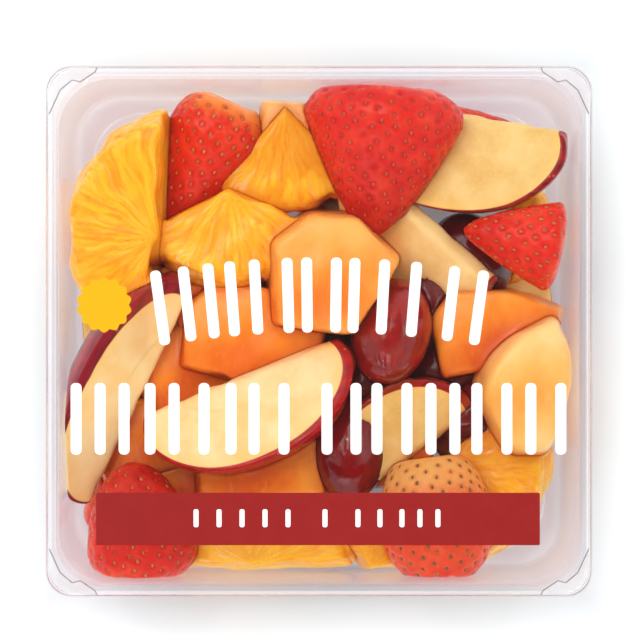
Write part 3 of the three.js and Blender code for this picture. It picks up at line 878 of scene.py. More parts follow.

# %% [markdown]
# ## Melon flesh
# Ripe orange melon is firm and moist, with faint strands and shallow marks from the knife. The colour goes
# through slow clouds, and the strands are only a fine stretched grain. Each piece is also painted paler
# higher up and towards +Y, where the main lamp lights it: painted light.

# %% Melon: strands and colours


def melon_flesh(name, deep, body, light):
    """A melon's finish: slow clouds of colour, painted light that pales its upper side, and fine strands."""
    finish, tree, shader = new_finish(name)
    place = reading(tree, "own_place", "Vector")
    flesh = wet_flesh(tree, place, 70, 1100, 0.7)
    # Random clouds plus painted light: paler higher up and towards +Y, the main lamp's side.
    share = maths(tree, "ADD", flesh["Clouds"], reading(tree, "paleness"))
    colour = ramp(tree, level(tree, share, 0.1, 1.6), [(0.0, deep), (0.5, body), (1.0, light)])
    strands = noise(tree, stretched(tree, place, (1.0, 0.28, 1.0)), 700, 3, 0.6)
    colour = mixed(tree, level(tree, strands, 0.52, 0.75, 0, 0.3), colour, light)
    # Painted shade where other pieces are near.
    colour = painted_crevice_shade(tree, colour, tone(206, 78, 10), 0.7)
    tree.links.new(colour, shader.inputs["Base Color"])
    tree.links.new(level(tree, flesh["Dullness"], 0, 1, 0.2, 0.46), shader.inputs["Roughness"])
    shader.inputs["Coat Weight"].default_value = 0.12
    shader.inputs["Coat Roughness"].default_value = 0.15
    soft_inside(shader, 0.3, (1.0, 0.42, 0.16), 0.003)
    skin_deep(tree, shader, strands, 0.22)
    return finish


def melon_relief(piece, points):
    """Soft hollows, faint knife marks, and a paleness that is partly random and partly painted light."""
    press = -0.6 * (1 + waves(points, 12, len(piece.name))) / 2
    press -= 0.07 * (1 + np.sin(points[:, 2] * 2.2)) / 2
    # Random waves, and painted light: paler higher up and towards +Y, where the main lamp is.
    pale = 0.45 + 0.35 * waves(points, 26, 7) + points[:, 2] / 60 + points[:, 1] / 60
    return press, {"own_place": points * MM, "paleness": pale}


MELONS = {
    "": melon_flesh("flesh_melon", tone(226, 98, 16), tone(246, 140, 34), tone(252, 172, 66)),
    "melon_middle": melon_flesh("flesh_melon_pale", tone(246, 134, 40), tone(253, 158, 57),
                                tone(254, 184, 90)),
    "melon_right": melon_flesh("flesh_melon_palest", tone(252, 170, 70), tone(254, 192, 98),
                               tone(255, 214, 136)),
    "melon_left_inner": melon_flesh("flesh_melon_bright", tone(236, 112, 14), tone(248, 142, 32),
                                    tone(252, 170, 64)),
    "melon_far": melon_flesh("flesh_melon_light", tone(246, 158, 66), tone(250, 180, 90),
                             tone(253, 202, 122)),
}
print("melon finishes:", len(MELONS))

# %% [markdown]
# ## Apple flesh and skin
# An apple wedge keeps its red skin on the round side. Skin and flesh are one mesh here: the distance to the
# whole apple's skin is stored on it, and the material turns from cream to red where that distance is small.
# That gives the thin red line along the cut edge that the real wedge has. Where a wedge lies so that its
# skin rolls over the edge, the line is a band, and a table gives its width along the wedge.

# %% Apple: two finishes in one


def apple_finish(name, flesh_deep, flesh_light, skin_dark, skin_light):
    """An apple's finish: cream flesh with a fine grain, and glossy streaked skin."""
    finish, tree, shader = new_finish(name)
    place = reading(tree, "own_place", "Vector")
    flesh = wet_flesh(tree, place, 85, 1500, 0.5)
    cream = ramp(tree, flesh["Clouds"], [(0.1, flesh_deep), (0.75, flesh_light)])
    cream = mixed(tree, level(tree, flesh["Grain"], 0.5, 0.8, 0, 0.3), cream, tone(255, 232, 184))
    rind = level(tree, reading(tree, "skin_depth"), -3.2, -0.3, 0, 0.45)
    cream = mixed(tree, rind, cream, tone(250, 204, 100))
    core = level(tree, reading(tree, "core_line"), 0.15, 1, 0, 0.4)
    cream = mixed(tree, core, cream, tone(226, 196, 120))
    streaks = level(tree, noise(tree, stretched(tree, place, (0.12, 1.0, 1.0)), 420, 4, 0.6), 0.35, 0.7)
    red = ramp(tree, streaks, [(0.0, skin_dark), (1.0, skin_light)])
    freckle = add(tree, "ShaderNodeTexVoronoi", {"Vector": place, "Scale": 330.0}).outputs["Distance"]
    red = mixed(tree, level(tree, freckle, 0.06, 0.13, 0.45, 0), red, tone(232, 150, 110))
    on_skin = level(tree, reading(tree, "skin_depth"), -0.42, -0.2)
    # Painted shade where other pieces are near, weaker than on the other fruit.
    colour = painted_crevice_shade(tree, mixed(tree, on_skin, cream, red), tone(206, 112, 26), 0.26)
    tree.links.new(colour, shader.inputs["Base Color"])
    dull = level(tree, flesh["Dullness"], 0, 1, 0.32, 0.6)
    rough = add(tree, "ShaderNodeMix", {0: on_skin, 2: dull, 3: 0.2})
    tree.links.new(rough.outputs[0], shader.inputs["Roughness"])
    soft_inside(shader, 0.18, (1.0, 0.7, 0.3), 0.0022)
    skin_deep(tree, shader, flesh["Grain"], 0.16)
    return finish


# The band of skin in millimetres, at five places from the wedge's -X end to its +X end
SKIN_BAND = {
    "apple_middle": [0.3, 0.8, 1.7, 2.6, 2.6],
    "apple_left": [2.2, 3.2, 2.8, 1.2, 0.2],
    "apple_right": [0, 0, 0, 0.6, 2.4],
    "apple_near": [2.4, 2.0, 1.2, 0.5, 0.2],
    "apple_inner": [0, 0, 0, 0, 1.6],
}


def apple_relief(piece, points):
    """Faint waves from the knife, the core's line, and how near the skin is."""
    size = piece.size
    depth = apple_skin(points, size["radius"], size["half"])
    along = points[:, 0] / size["half"]
    band = np.interp(along, [-1, -0.5, 0, 0.5, 1], SKIN_BAND.get(piece.name, [0] * 5))
    rolled = np.clip((depth + band) / np.maximum(band, 0.1), 0, 1) * (band > 0.05)
    inside = np.clip(-depth / 3, 0, 1)
    knife = (1 + np.sin(points[:, 0] * 0.9 + 2 * waves(points, 30, 2))) / 2
    press = -0.09 * knife * inside - 0.12 * (1 + waves(points, 10, 6)) / 2 * inside
    press -= 0.3 * band * rolled**2
    across = np.hypot(points[:, 1], points[:, 2]) / size["radius"]
    core = np.abs(np.hypot(points[:, 0] / (0.62 * size["half"]), across / 0.46) - 1)
    line = np.exp(-((core / 0.035) ** 2)) * (0.6 + 0.4 * waves(points, 12, 9))
    heart = np.exp(-((across / 0.24) ** 2))
    press -= 0.8 * heart * (1 + waves(points, 7, 13)) / 2
    return press, {"own_place": points * MM, "skin_depth": depth + band, "core_line": line}


APPLES = {
    "": apple_finish("apple_cream", tone(230, 184, 94), tone(243, 208, 128),
                     tone(120, 8, 14), tone(176, 24, 26)),
    "apple_middle": apple_finish("apple_pale", tone(249, 208, 132), tone(254, 228, 166),
                                 tone(150, 6, 10), tone(196, 26, 24)),
    "apple_left": apple_finish("apple_dark_skin", tone(252, 214, 136), tone(255, 230, 166),
                               tone(104, 2, 20), tone(170, 22, 40)),
    "apple_inner": apple_finish("apple_shaded", tone(240, 196, 112), tone(250, 216, 140),
                                tone(130, 10, 14), tone(180, 30, 26)),
}
print("apple finishes:", len(APPLES))

# %% [markdown]
# ## Grape skin
# A dark red grape is smooth and glossy, with a dull bloom in soft patches and a warmer red where light
# passes through. Its shape is nearly exact, so most of the work is in the finish.

# %% Grape: gloss and bloom


def grape_skin(name, dark, body, bloom):
    """A grape's finish: deep colour, tiny dots and patches of bloom."""
    finish, tree, shader = new_finish(name)
    place = reading(tree, "own_place", "Vector")
    flesh = wet_flesh(tree, place, 110, 1300, 0.8)
    colour = ramp(tree, flesh["Clouds"], [(0.1, dark), (0.8, body)])
    bloomed = level(tree, noise(tree, place, 150, 4, 0.65), 0.5, 0.75, 0, 0.4)
    colour = mixed(tree, bloomed, colour, bloom)
    dots = add(tree, "ShaderNodeTexVoronoi", {"Vector": place, "Scale": 520.0}).outputs["Distance"]
    colour = mixed(tree, level(tree, dots, 0.08, 0.16, 0.3, 0), colour, tone(196, 110, 90))
    # Painted shade, nearly black, where other pieces are near.
    colour = painted_crevice_shade(tree, colour, tone(60, 0, 2))
    tree.links.new(colour, shader.inputs["Base Color"])
    tree.links.new(level(tree, flesh["Dullness"], 0, 1, 0.08, 0.26), shader.inputs["Roughness"])
    shader.inputs["Coat Weight"].default_value = 0.6
    shader.inputs["Coat Roughness"].default_value = 0.05
    soft_inside(shader, 0.15, (1.0, 0.15, 0.1), 0.002)
    skin_deep(tree, shader, flesh["Grain"], 0.05)
    return finish


def grape_relief(piece, points):
    """Long shallow swells, as on a real berry."""
    return -0.22 * (1 + waves(points, 16, len(piece.name))) / 2, {"own_place": points * MM}


GRAPES = {
    "": grape_skin("grape_dark", tone(84, 2, 6), tone(120, 8, 10), tone(132, 30, 30)),
    "grape_middle": grape_skin("grape_red", tone(128, 8, 6), tone(160, 26, 18), tone(178, 60, 44)),
    "grape_near": grape_skin("grape_wine", tone(122, 2, 6), tone(146, 8, 8), tone(150, 26, 22)),
    "grape_near_right": grape_skin("grape_brown", tone(110, 44, 22), tone(146, 72, 34),
                                   tone(170, 100, 60)),
}
print("grape finishes:", len(GRAPES))

# %% [markdown]
# ## Making the fruit
# Each piece is read on its grid, pressed by its relief, and put in place. The relief only presses inwards,
# so a piece never grows into its neighbour, and it fades out where two pieces touch, so that no gap opens
# between them. How open a place lies is also stored, for the painted warm shade where pieces meet. Two
# distances in millimetres say from where the relief is full, and from where a place counts as open.

# %% Make each piece that shows
STEP = {"strawberry": 0.5, "orange": 0.5, "melon": 0.65, "apple": 0.55, "grape": 0.6}
RELIEF = {
    "strawberry": strawberry_relief,
    "orange": orange_relief,
    "melon": melon_relief,
    "apple": apple_relief,
    "grape": grape_relief,
}
FINISH = {"strawberry": STRAWBERRIES, "orange": ORANGES, "melon": MELONS, "apple": APPLES, "grape": GRAPES}
COARSE = 1.0
RELIEF_FROM = 1.2
OPEN_FROM = 4.0


def finish_for(piece):
    """A piece's own finish, or the usual one of its fruit."""
    return FINISH[piece.kind].get(piece.name, FINISH[piece.kind][""])


def left_free(piece, points, others):
    """How far each point is from the nearest other piece, in millimetres, up to OPEN_FROM."""
    placed = piece.outward(points)
    found = np.full(len(points), OPEN_FROM)
    for other in others:
        if other is not piece and piece.meets(other):
            found = np.minimum(found, other.own(other.inward(placed)))
    return np.maximum(found, 0)


def fine_skin(piece, above, step):
    """Points in place, faces and readings of one piece."""
    rule = piece.fitted(above)
    points, faces = skin_of(rule, piece.low, piece.high, step)
    press, readings = RELIEF[piece.kind](piece, points)
    free = left_free(piece, points, upper_pieces + lower_pieces)
    press *= np.clip(free / RELIEF_FROM, 0, 1)
    # How open a place lies; the finishes paint shade where it is small.
    readings["open"] = np.clip(free / OPEN_FROM, 0, 1) ** 0.6
    points = points + press[:, None] * slope(rule, points, 0.3)
    return piece.outward(points), faces, readings


shown_faces = 0
for number, piece in enumerate(upper_pieces):
    points, faces, readings = fine_skin(piece, upper_pieces[:number], STEP[piece.kind] * COARSE)
    made = mesh_object(piece.name + "_fruit", points, faces, finish_for(piece), readings)
    dress(made, piece.kind, piece.name)
    shown_faces += 2 * len(faces)
print("triangles in the fruit that shows:", shown_faces)

# %% [markdown]
# ## The lower layer
# The lower pieces hardly show, so each needn't be an object of its own. They are made like the others and
# joined by kind into a few objects, which together stand for the plain lower solid.

# %% Make the lower pieces
LOWER_STEP = 0.95

for kind in RULES:
    all_points, all_faces, all_readings = [], [], []
    count = 0
    for number, piece in enumerate(lower_pieces):
        if piece.kind != kind:
            continue
        above = upper_pieces + lower_pieces[:number]
        points, faces, readings = fine_skin(piece, above, LOWER_STEP * COARSE)
        all_points.append(points)
        all_faces.append(faces + count)
        all_readings.append(readings)
        count += len(points)
    joint = {name: np.concatenate([one[name] for one in all_readings]) for name in all_readings[0]}
    made = mesh_object(f"{kind}_below", np.concatenate(all_points), np.concatenate(all_faces),
                       FINISH[kind][""], joint)
    dress(made, kind, "fruit_below")
print("lower objects:", len(RULES))

# %% [markdown]
# ## Seeds by Geometry Nodes
# A strawberry carries a few hundred seeds. They are one small drop shape laid on many points, which is what
# Geometry Nodes do best. Each point comes with the way it faces and the way to the tip, and the tree turns a
# seed to both and varies its size a little. The result is made real and turned into a plain mesh.

# %% Tree: seeds on points
SEED_LENGTH, SEED_WIDTH, SEED_HEIGHT = 1.4, 0.85, 0.55


def seed_tree(finish):
    """A tree that lays a small drop on each point of a mesh."""
    tree = bpy.data.node_groups.new("seeds_on_points", "GeometryNodeTree")
    tree.interface.new_socket("Geometry", in_out="INPUT", socket_type="NodeSocketGeometry")
    for name in ("Seed length", "Seed width", "Seed height"):
        tree.interface.new_socket(name, in_out="INPUT", socket_type="NodeSocketFloat")
    tree.interface.new_socket("Geometry", in_out="OUTPUT", socket_type="NodeSocketGeometry")
    given = add(tree, "NodeGroupInput").outputs
    drop = add(tree, "GeometryNodeMeshUVSphere", {"Segments": 6, "Rings": 4, "Radius": 0.5}).outputs["Mesh"]
    size = add(tree, "ShaderNodeCombineXYZ",
               {"X": given["Seed length"], "Y": given["Seed width"], "Z": given["Seed height"]})
    drop = add(tree, "GeometryNodeTransform", {"Geometry": drop, "Scale": size.outputs[0]}).outputs[0]
    drop = add(tree, "GeometryNodeSetShadeSmooth", {"Geometry": drop}).outputs[0]
    facing = add(tree, "GeometryNodeInputNamedAttribute", {"Name": "facing"}, data_type="FLOAT_VECTOR")
    heading = add(tree, "GeometryNodeInputNamedAttribute", {"Name": "heading"}, data_type="FLOAT_VECTOR")
    up = add(tree, "FunctionNodeAlignRotationToVector", {"Vector": facing.outputs["Attribute"]}, axis="Z")
    both = {"Rotation": up.outputs[0], "Vector": heading.outputs["Attribute"]}
    ahead = add(tree, "FunctionNodeAlignRotationToVector", both, axis="X", pivot_axis="Z")
    scale = add(tree, "FunctionNodeRandomValue", {"Min": 0.8, "Max": 1.15, "Seed": 4}, data_type="FLOAT")
    laid = add(tree, "GeometryNodeInstanceOnPoints",
               {"Points": given["Geometry"], "Instance": drop, "Rotation": ahead.outputs[0]})
    factor = next(s for s in scale.outputs if s.enabled)
    tree.links.new(factor, laid.inputs["Scale"])
    real = add(tree, "GeometryNodeRealizeInstances", {"Geometry": laid.outputs[0]}).outputs[0]
    coloured = add(tree, "GeometryNodeSetMaterial", {"Geometry": real, "Material": finish}).outputs[0]
    add(tree, "NodeGroupOutput", {"Geometry": coloured})
    return tree


def grown(name, base, tree, values):
    """The plain mesh that a tree grows on a base object, with its inputs by name."""
    modifier = base.modifiers.new("grow", "NODES")
    modifier.node_group = tree
    for item in tree.interface.items_tree:
        if item.item_type == "SOCKET" and item.in_out == "INPUT" and item.name in values:
            modifier[item.identifier] = values[item.name]
    evaluated = base.evaluated_get(bpy.context.evaluated_depsgraph_get())
    mesh = bpy.data.meshes.new_from_object(evaluated)
    mesh.name = name
    made = bpy.data.objects.new(name, mesh)
    bpy.context.scene.collection.objects.link(made)
    base.modifiers.remove(modifier)
    bpy.data.objects.remove(base)
    return made


print("a seed is", SEED_LENGTH, "by", SEED_WIDTH, "by", SEED_HEIGHT, "mm")

# %% [markdown]
# ## Seeds in their pits
# A seed is straw coloured on a red berry and darker on a pale one, with a faint grain. Seeds lie only where
# the berry's skin is left free by its neighbours, and not on the hollow where the leaves were.

# %% Lay the seeds
SEED_SUNK = 0.52


def seed_finish(name, dark, light):
    """A seed's finish: two tones in a fine grain."""
    finish, tree, shader = new_finish(name)
    place = add(tree, "ShaderNodeTexCoord").outputs["Object"]
    grain = noise(tree, place, 600, 2)
    tree.links.new(ramp(tree, grain, [(0.3, dark), (0.7, light)]), shader.inputs["Base Color"])
    tree.links.new(level(tree, grain, 0, 1, 0.25, 0.5), shader.inputs["Roughness"])
    skin_deep(tree, shader, grain, 0.2, 0.0001)
    return finish


STRAW_TREE = seed_tree(seed_finish("seed_straw", tone(166, 70, 14), tone(222, 140, 50)))
RUSSET_TREE = seed_tree(seed_finish("seed_russet", tone(110, 66, 14), tone(160, 104, 34)))
WINE_TREE = seed_tree(seed_finish("seed_wine", tone(168, 40, 18), tone(214, 96, 52)))
SEED_TREES = {"strawberry_near_right": RUSSET_TREE, "strawberry_large": WINE_TREE}


def lay_seeds(name, pieces_with_above, tree):
    """Seeds on strawberries, each given with the pieces that lie on it."""
    spots, facing, heading = [], [], []
    for piece, above in pieces_with_above:
        pits = berry_pits(piece)
        rule = piece.fitted(above)
        for _ in range(2):
            pits = pits - piece.own(pits)[:, None] * slope(piece.own, pits)
        free = (rule(pits) < 0.12) & (pits[:, 0] < piece.size["length"] * 0.46)
        pits = pits[free]
        out = slope(piece.own, pits)
        spots.append(piece.outward(pits - SEED_SUNK * out))
        facing.append(out @ piece.axes.T)
        heading.append(np.tile(-piece.axes[:, 0], (len(pits), 1)))
    finish = tree.nodes["Set Material"].inputs["Material"].default_value
    ways = {"facing": np.concatenate(facing), "heading": np.concatenate(heading)}
    base = mesh_object(name + "_points", np.concatenate(spots), [], finish, ways)
    sizes = {"Seed length": SEED_LENGTH * MM, "Seed width": SEED_WIDTH * MM, "Seed height": SEED_HEIGHT * MM}
    made = grown(name, base, tree, sizes)
    dress(made, "strawberry_seed")
    return len(made.data.polygons)


seed_faces = 0
for number, piece in enumerate(upper_pieces):
    if piece.kind == "strawberry":
        tree = SEED_TREES.get(piece.name, STRAW_TREE)
        seed_faces += lay_seeds(piece.name + "_seeds", [(piece, upper_pieces[:number])], tree)
low_berries = [(piece, upper_pieces + lower_pieces[:number])
               for number, piece in enumerate(lower_pieces) if piece.kind == "strawberry"]
seed_faces += lay_seeds("strawberry_below_seeds", low_berries, STRAW_TREE)
print("faces in all the seeds:", seed_faces)

# %% [markdown]
# ## Clear plastic
# The film is thin clear plastic. A glass shader gives it bright edges and lines, but it would also keep the
# lamps' light from the fruit inside, because light through glass is slow to trace. So a ray from a lamp, or
# one that is gathering soft light, passes straight through, and only the eye and mirror images see the
# glass. The tray's walls stand almost along the view, and true glass would trap the light in them and look
# black. They are blended instead from a clear shader and a pale glossy one, which takes over where a face is
# seen edge on.

# %% Clear plastic finish


def clear_film(name, tint):
    """A flat clear sheet that lamps shine straight through."""
    finish, tree, shader = new_finish(name)
    place = add(tree, "ShaderNodeTexCoord").outputs["Object"]
    haze = level(tree, noise(tree, place, 45, 3), 0.35, 0.65)
    tree.links.new(mixed(tree, haze, tint, (1, 1, 1, 1)), shader.inputs["Base Color"])
    tree.links.new(level(tree, haze, 0, 1, 0.01, 0.03), shader.inputs["Roughness"])
    shader.inputs["Transmission Weight"].default_value = 1
    shader.inputs["IOR"].default_value = 1.46
    ray = add(tree, "ShaderNodeLightPath").outputs
    soft_light = maths(tree, "MAXIMUM", ray["Is Shadow Ray"], ray["Is Diffuse Ray"])
    clear = add(tree, "ShaderNodeBsdfTransparent", {"Color": tint})
    both = add(tree, "ShaderNodeMixShader", {0: soft_light, 1: shader.outputs[0], 2: clear.outputs[0]})
    tree.links.new(both.outputs[0], tree.nodes["Material Output"].inputs["Surface"])
    return finish


def clear_wall(name, tint, front=0.01, edge=0.5):
    """Milky clear plastic: how much of it shows from the front, and along its edges."""
    finish, tree, shader = new_finish(name)
    place = add(tree, "ShaderNodeTexCoord").outputs["Object"]
    cloud = noise(tree, place, 60, 3)
    tree.links.new(ramp(tree, cloud, [(0.3, tone(238, 230, 232)), (0.7, tone(250, 248, 250))]),
                   shader.inputs["Base Color"])
    tree.links.new(level(tree, cloud, 0.3, 0.7, 0.08, 0.2), shader.inputs["Roughness"])
    edge_on = add(tree, "ShaderNodeLayerWeight", {"Blend": 0.35}).outputs["Facing"]
    share = level(tree, edge_on, 0.3, 0.97, front, edge)
    clear = add(tree, "ShaderNodeBsdfTransparent", {"Color": tint})
    both = add(tree, "ShaderNodeMixShader", {0: share, 1: clear.outputs[0], 2: shader.outputs[0]})
    tree.links.new(both.outputs[0], tree.nodes["Material Output"].inputs["Surface"])
    return finish


TRAY_FINISH = clear_wall("clear_tray", tone(253, 251, 252))
FILM_FINISH = clear_film("clear_film", tone(254, 252, 253))
CREASE_FINISH = clear_wall("clear_crease", tone(150, 140, 138), 0.25, 0.5)
LIFTED_FINISH = clear_wall("clear_lifted", tone(250, 250, 250), 0.35, 0.5)
print("clear finishes:", [f.name for f in (TRAY_FINISH, FILM_FINISH, CREASE_FINISH, LIFTED_FINISH)])

# %% [markdown]
# ## The tray
# A moulded tray is one thin shell: a foot, a wall that leans out a little, and a flat rim with a small lip.
# It could be lathed if it were round. Here its profile is run round as rounded rectangles instead. The
# profile goes from the middle of the underside out over the rim and back to the middle of the floor, as
# (how far in from the rim, how high), and each sharp turn is first cut to a small curve, because moulded
# plastic has no sharp edges. Past FLAT_END the base is flat, and one face closes it on each side.

# %% Tray
FLAT_END = 20
CORNER_STEPS = 14
TRAY_EASE = 0.9
TRAY_PROFILE = [
    (FLAT_END, 1.2), (17.5, 1.2), (11.4, 0), (9.2, 0), (6.5, 1.3), (5.2, 4.2), (3.1, 46.4), (2.8, 50.9),
    (0.7, 50.9), (0.7, 49.3), (0, 49.3), (0, TRAY_HEIGHT), (3.5, TRAY_HEIGHT), (3.8, 46.4), (5.9, 4.4),
    (6.9, 2.1), (9.4, 0.7), (11.3, 0.7), (17.3, 1.9), (FLAT_END, 1.9),
]


def eased(profile, width):
    """A profile whose corners are cut to short curves of about this width."""
    points = [np.array(p, float) for p in profile]
    found = [points[0]]
    for before, here, after in zip(points, points[1:], points[2:]):
        reach = min(width, 0.42 * np.linalg.norm(before - here), 0.42 * np.linalg.norm(after - here))
        start = here + (before - here) / np.linalg.norm(before - here) * reach
        end = here + (after - here) / np.linalg.norm(after - here) * reach
        for t in (0, 0.33, 0.67, 1):
            found.append((1 - t) ** 2 * start + 2 * t * (1 - t) * here + t * t * end)
    return [*found, points[-1]]


def shell(name, profile, finish):
    """A closed solid from a profile run round as rounded rectangles; both its ends close flat."""
    around = 4 * (CORNER_STEPS + 1)
    rings = [np.column_stack([ring(inset, CORNER_STEPS), np.full(around, z)]) for inset, z in profile]
    points = np.concatenate(rings)
    faces = []
    for row in range(len(rings) - 1):
        for n in range(around):
            a, b = row * around + n, row * around + (n + 1) % around
            faces.append([a, b, b + around, a + around])
    faces.append(list(range(around))[::-1])
    last = (len(rings) - 1) * around
    faces.append([last + n for n in range(around)])
    return mesh_object(name, points, faces, finish)


tray = shell("tray_clear", eased(TRAY_PROFILE, TRAY_EASE), TRAY_FINISH)
dress(tray, "tray", "tray")
print("tray faces:", len(tray.data.polygons))

# %% [markdown]
# ## The film lid
# The film is sealed to the rim and drawn tight over the fruit. A plain plane would do from above, but its
# edge catches light, so it is a shell like the tray: its edge is rounded, a shallow pressed band shows where
# it is sealed, and the middle lies flat.

# %% Film
FILM_BOTTOM = 51.7
FILM_TOP = 52.1
FILM_PROFILE = [
    (FLAT_END, FILM_BOTTOM), (1, FILM_BOTTOM), (0.5, FILM_BOTTOM), (0.35, FILM_BOTTOM + 0.15),
    (0.35, FILM_TOP - 0.15), (0.5, FILM_TOP), (0.9, FILM_TOP), (1.0, FILM_TOP - 0.08),
    (2.0, FILM_TOP - 0.1), (3.0, FILM_TOP - 0.08), (3.15, FILM_TOP), (3.6, FILM_TOP), (FLAT_END, FILM_TOP),
]
film = shell("film_clear", FILM_PROFILE, FILM_FINISH)
dress(film, "film", "film_lid")
print("film faces:", len(film.data.polygons))

# %% [markdown]
# ## Print on the film
# The film carries white upright bars in two rows, a red banner with small white marks, and a yellow disc.
# They are plain shapes with no words. An image could carry them, but ink is a very thin layer of its own, so
# each is a thin closed slab on the film. Their places are read off the photograph in pixels: PIXEL is how
# many millimetres one is, and PICTURE_MIDDLE is the pixel over the pack's middle.

# %% Ink finish and flat slabs
PIXEL = 0.2555
PICTURE_MIDDLE = (319, 331.5)
INK_BASE = FILM_TOP + 0.01
INK = 0.05


def on_film(px, py):
    """A place in the photograph as millimetres on the film."""
    return (px - PICTURE_MIDDLE[0]) * PIXEL, (PICTURE_MIDDLE[1] - py) * PIXEL


def ink(name, colour, worn):
    """Printed ink: nearly even, with a faint mottle and a satin face."""
    finish, tree, shader = new_finish(name)
    place = add(tree, "ShaderNodeTexCoord").outputs["Object"]
    mottle = noise(tree, place, 260, 3)
    mottled = mixed(tree, level(tree, mottle, 0.4, 0.75, 0, 0.5), colour, worn)
    tree.links.new(mottled, shader.inputs["Base Color"])
    tree.links.new(level(tree, mottle, 0, 1, 0.35, 0.5), shader.inputs["Roughness"])
    shader.inputs["Specular IOR Level"].default_value = 0.2
    skin_deep(tree, shader, noise(tree, place, 2500, 1), 0.06, 0.00005)
    return finish


def printed(piece, slot_name):
    """Ink this thin casts no shadow that the eye could see on the fruit under it."""
    piece.visible_shadow = False
    return dress(piece, slot_name)


def slab(name, outline, finish, thick=INK):
    """A thin closed slab on the film with this outline, given anticlockwise."""
    outline = np.array(outline, float)
    count = len(outline)
    heights = (INK_BASE, INK_BASE + thick)
    points = np.concatenate([np.column_stack([outline, np.full(count, z)]) for z in heights])
    faces = [list(range(count))[::-1], [count + n for n in range(count)]]
    faces += [[n, (n + 1) % count, count + (n + 1) % count, count + n] for n in range(count)]
    return mesh_object(name, points, faces, finish, smooth=False)


def rounded_box(left, top, right, bottom, corner):
    """The outline of a rounded box between two places of the photograph."""
    (x0, y1), (x1, y0) = on_film(left, top), on_film(right, bottom)
    found = []
    for quarter, (x, y) in enumerate(((x1 - corner, y1 - corner), (x0 + corner, y1 - corner),
                                      (x0 + corner, y0 + corner), (x1 - corner, y0 + corner))):
        for turn in np.radians(np.linspace(0, 90, 7) + 90 * quarter):
            found.append((x + corner * math.cos(turn), y + corner * math.sin(turn)))
    return found


WHITE_INK = ink("ink_white", tone(255, 255, 255), tone(250, 250, 250))
RED_INK = ink("ink_red", tone(150, 28, 27), tone(156, 32, 31))
YELLOW_INK = ink("ink_yellow", tone(230, 176, 2), tone(236, 182, 6))

banner = slab("print_banner", rounded_box(96, 493, 540, 545.5, 0.3), RED_INK)
printed(banner, "print_red")
print("banner spans", [round(v / MM, 1) for v in banner.dimensions], "mm")

# %% [markdown]
# ## The yellow disc
# The disc has fourteen soft points round it, like a small sun. A circle whose reach swells seven times over
# half a turn gives them.

# %% Disc
DISC_AT = (104, 305)
DISC_REACH, DISC_SWELL = 6.35, 0.75

disc_turns = np.radians(np.arange(0, 360, 3))
disc_reach = DISC_REACH + DISC_SWELL * np.abs(np.cos(7 * disc_turns)) ** 1.5
disc_edge = disc_reach[:, None] * np.stack([np.sin(disc_turns), np.cos(disc_turns)], -1)
disc = slab("print_disc", (np.array(on_film(*DISC_AT)) + disc_edge)[::-1], YELLOW_INK)
printed(disc, "print_yellow")
print("disc spans", round(disc.dimensions[0] / MM, 1), "mm")

# %% [markdown]
# ## Gathered corners
# At each corner the film is gathered as it is sealed. It is lifted a little there, which looks paler, and
# the lifted part ends in a crooked crease. One corner is drawn, and the other three are its mirror images.

# %% Film corners
CREASE = [(49, 114), (60, 90), (72, 80), (80, 82), (95, 72), (97, 67.5)]
CREASE_WIDTH = 0.28
LIFTED_INSET = 1.2
LIFTED_THICK = 0.03


def ribbon(path, width):
    """The outline of a narrow band along a path."""
    path = np.array(path, float)
    along = np.gradient(path, axis=0)
    aside = np.stack([-along[:, 1], along[:, 0]], -1) / np.linalg.norm(along, axis=1)[:, None] * width / 2
    return np.concatenate([path - aside, (path + aside)[::-1]])


crease = [on_film(px, py) for px, py in CREASE]
corner_turns = np.radians(np.linspace(100, 170, 8))
corner_middle = np.array([LIFTED_INSET + RIM_CORNER - HALF_WIDTH, HALF_DEPTH - LIFTED_INSET - RIM_CORNER])
corner_edge = corner_middle + RIM_CORNER * np.stack([np.cos(corner_turns), np.sin(corner_turns)], -1)
crease_band = ribbon(crease, CREASE_WIDTH)
lifted = np.array([*crease, *corner_edge])
for right in (-1, 1):
    for far in (1, -1):
        mirror = np.array([-right, far])
        order = 1 if mirror.prod() > 0 else -1
        spot = f"{'far' if far > 0 else 'near'}_{'right' if right > 0 else 'left'}"
        band = slab(f"film_crease_{spot}", (crease_band * mirror)[::order], CREASE_FINISH)
        dress(band, "film")
        flap = slab(f"film_lifted_{spot}", (lifted * mirror)[::order], LIFTED_FINISH, LIFTED_THICK)
        dress(flap, "film")
print("a crease is", round(np.linalg.norm(np.diff(crease, axis=0), axis=1).sum(), 1), "mm long")

# %% [markdown]
# ## Bars by Geometry Nodes
# The bars repeat, so one tree makes them from points, with the bar's sizes as its inputs. It draws a box,
# rounds its corners, fills and raises it, closes it below, and lays one on each point with that point's
# lean.

# %% Tree: bars on points


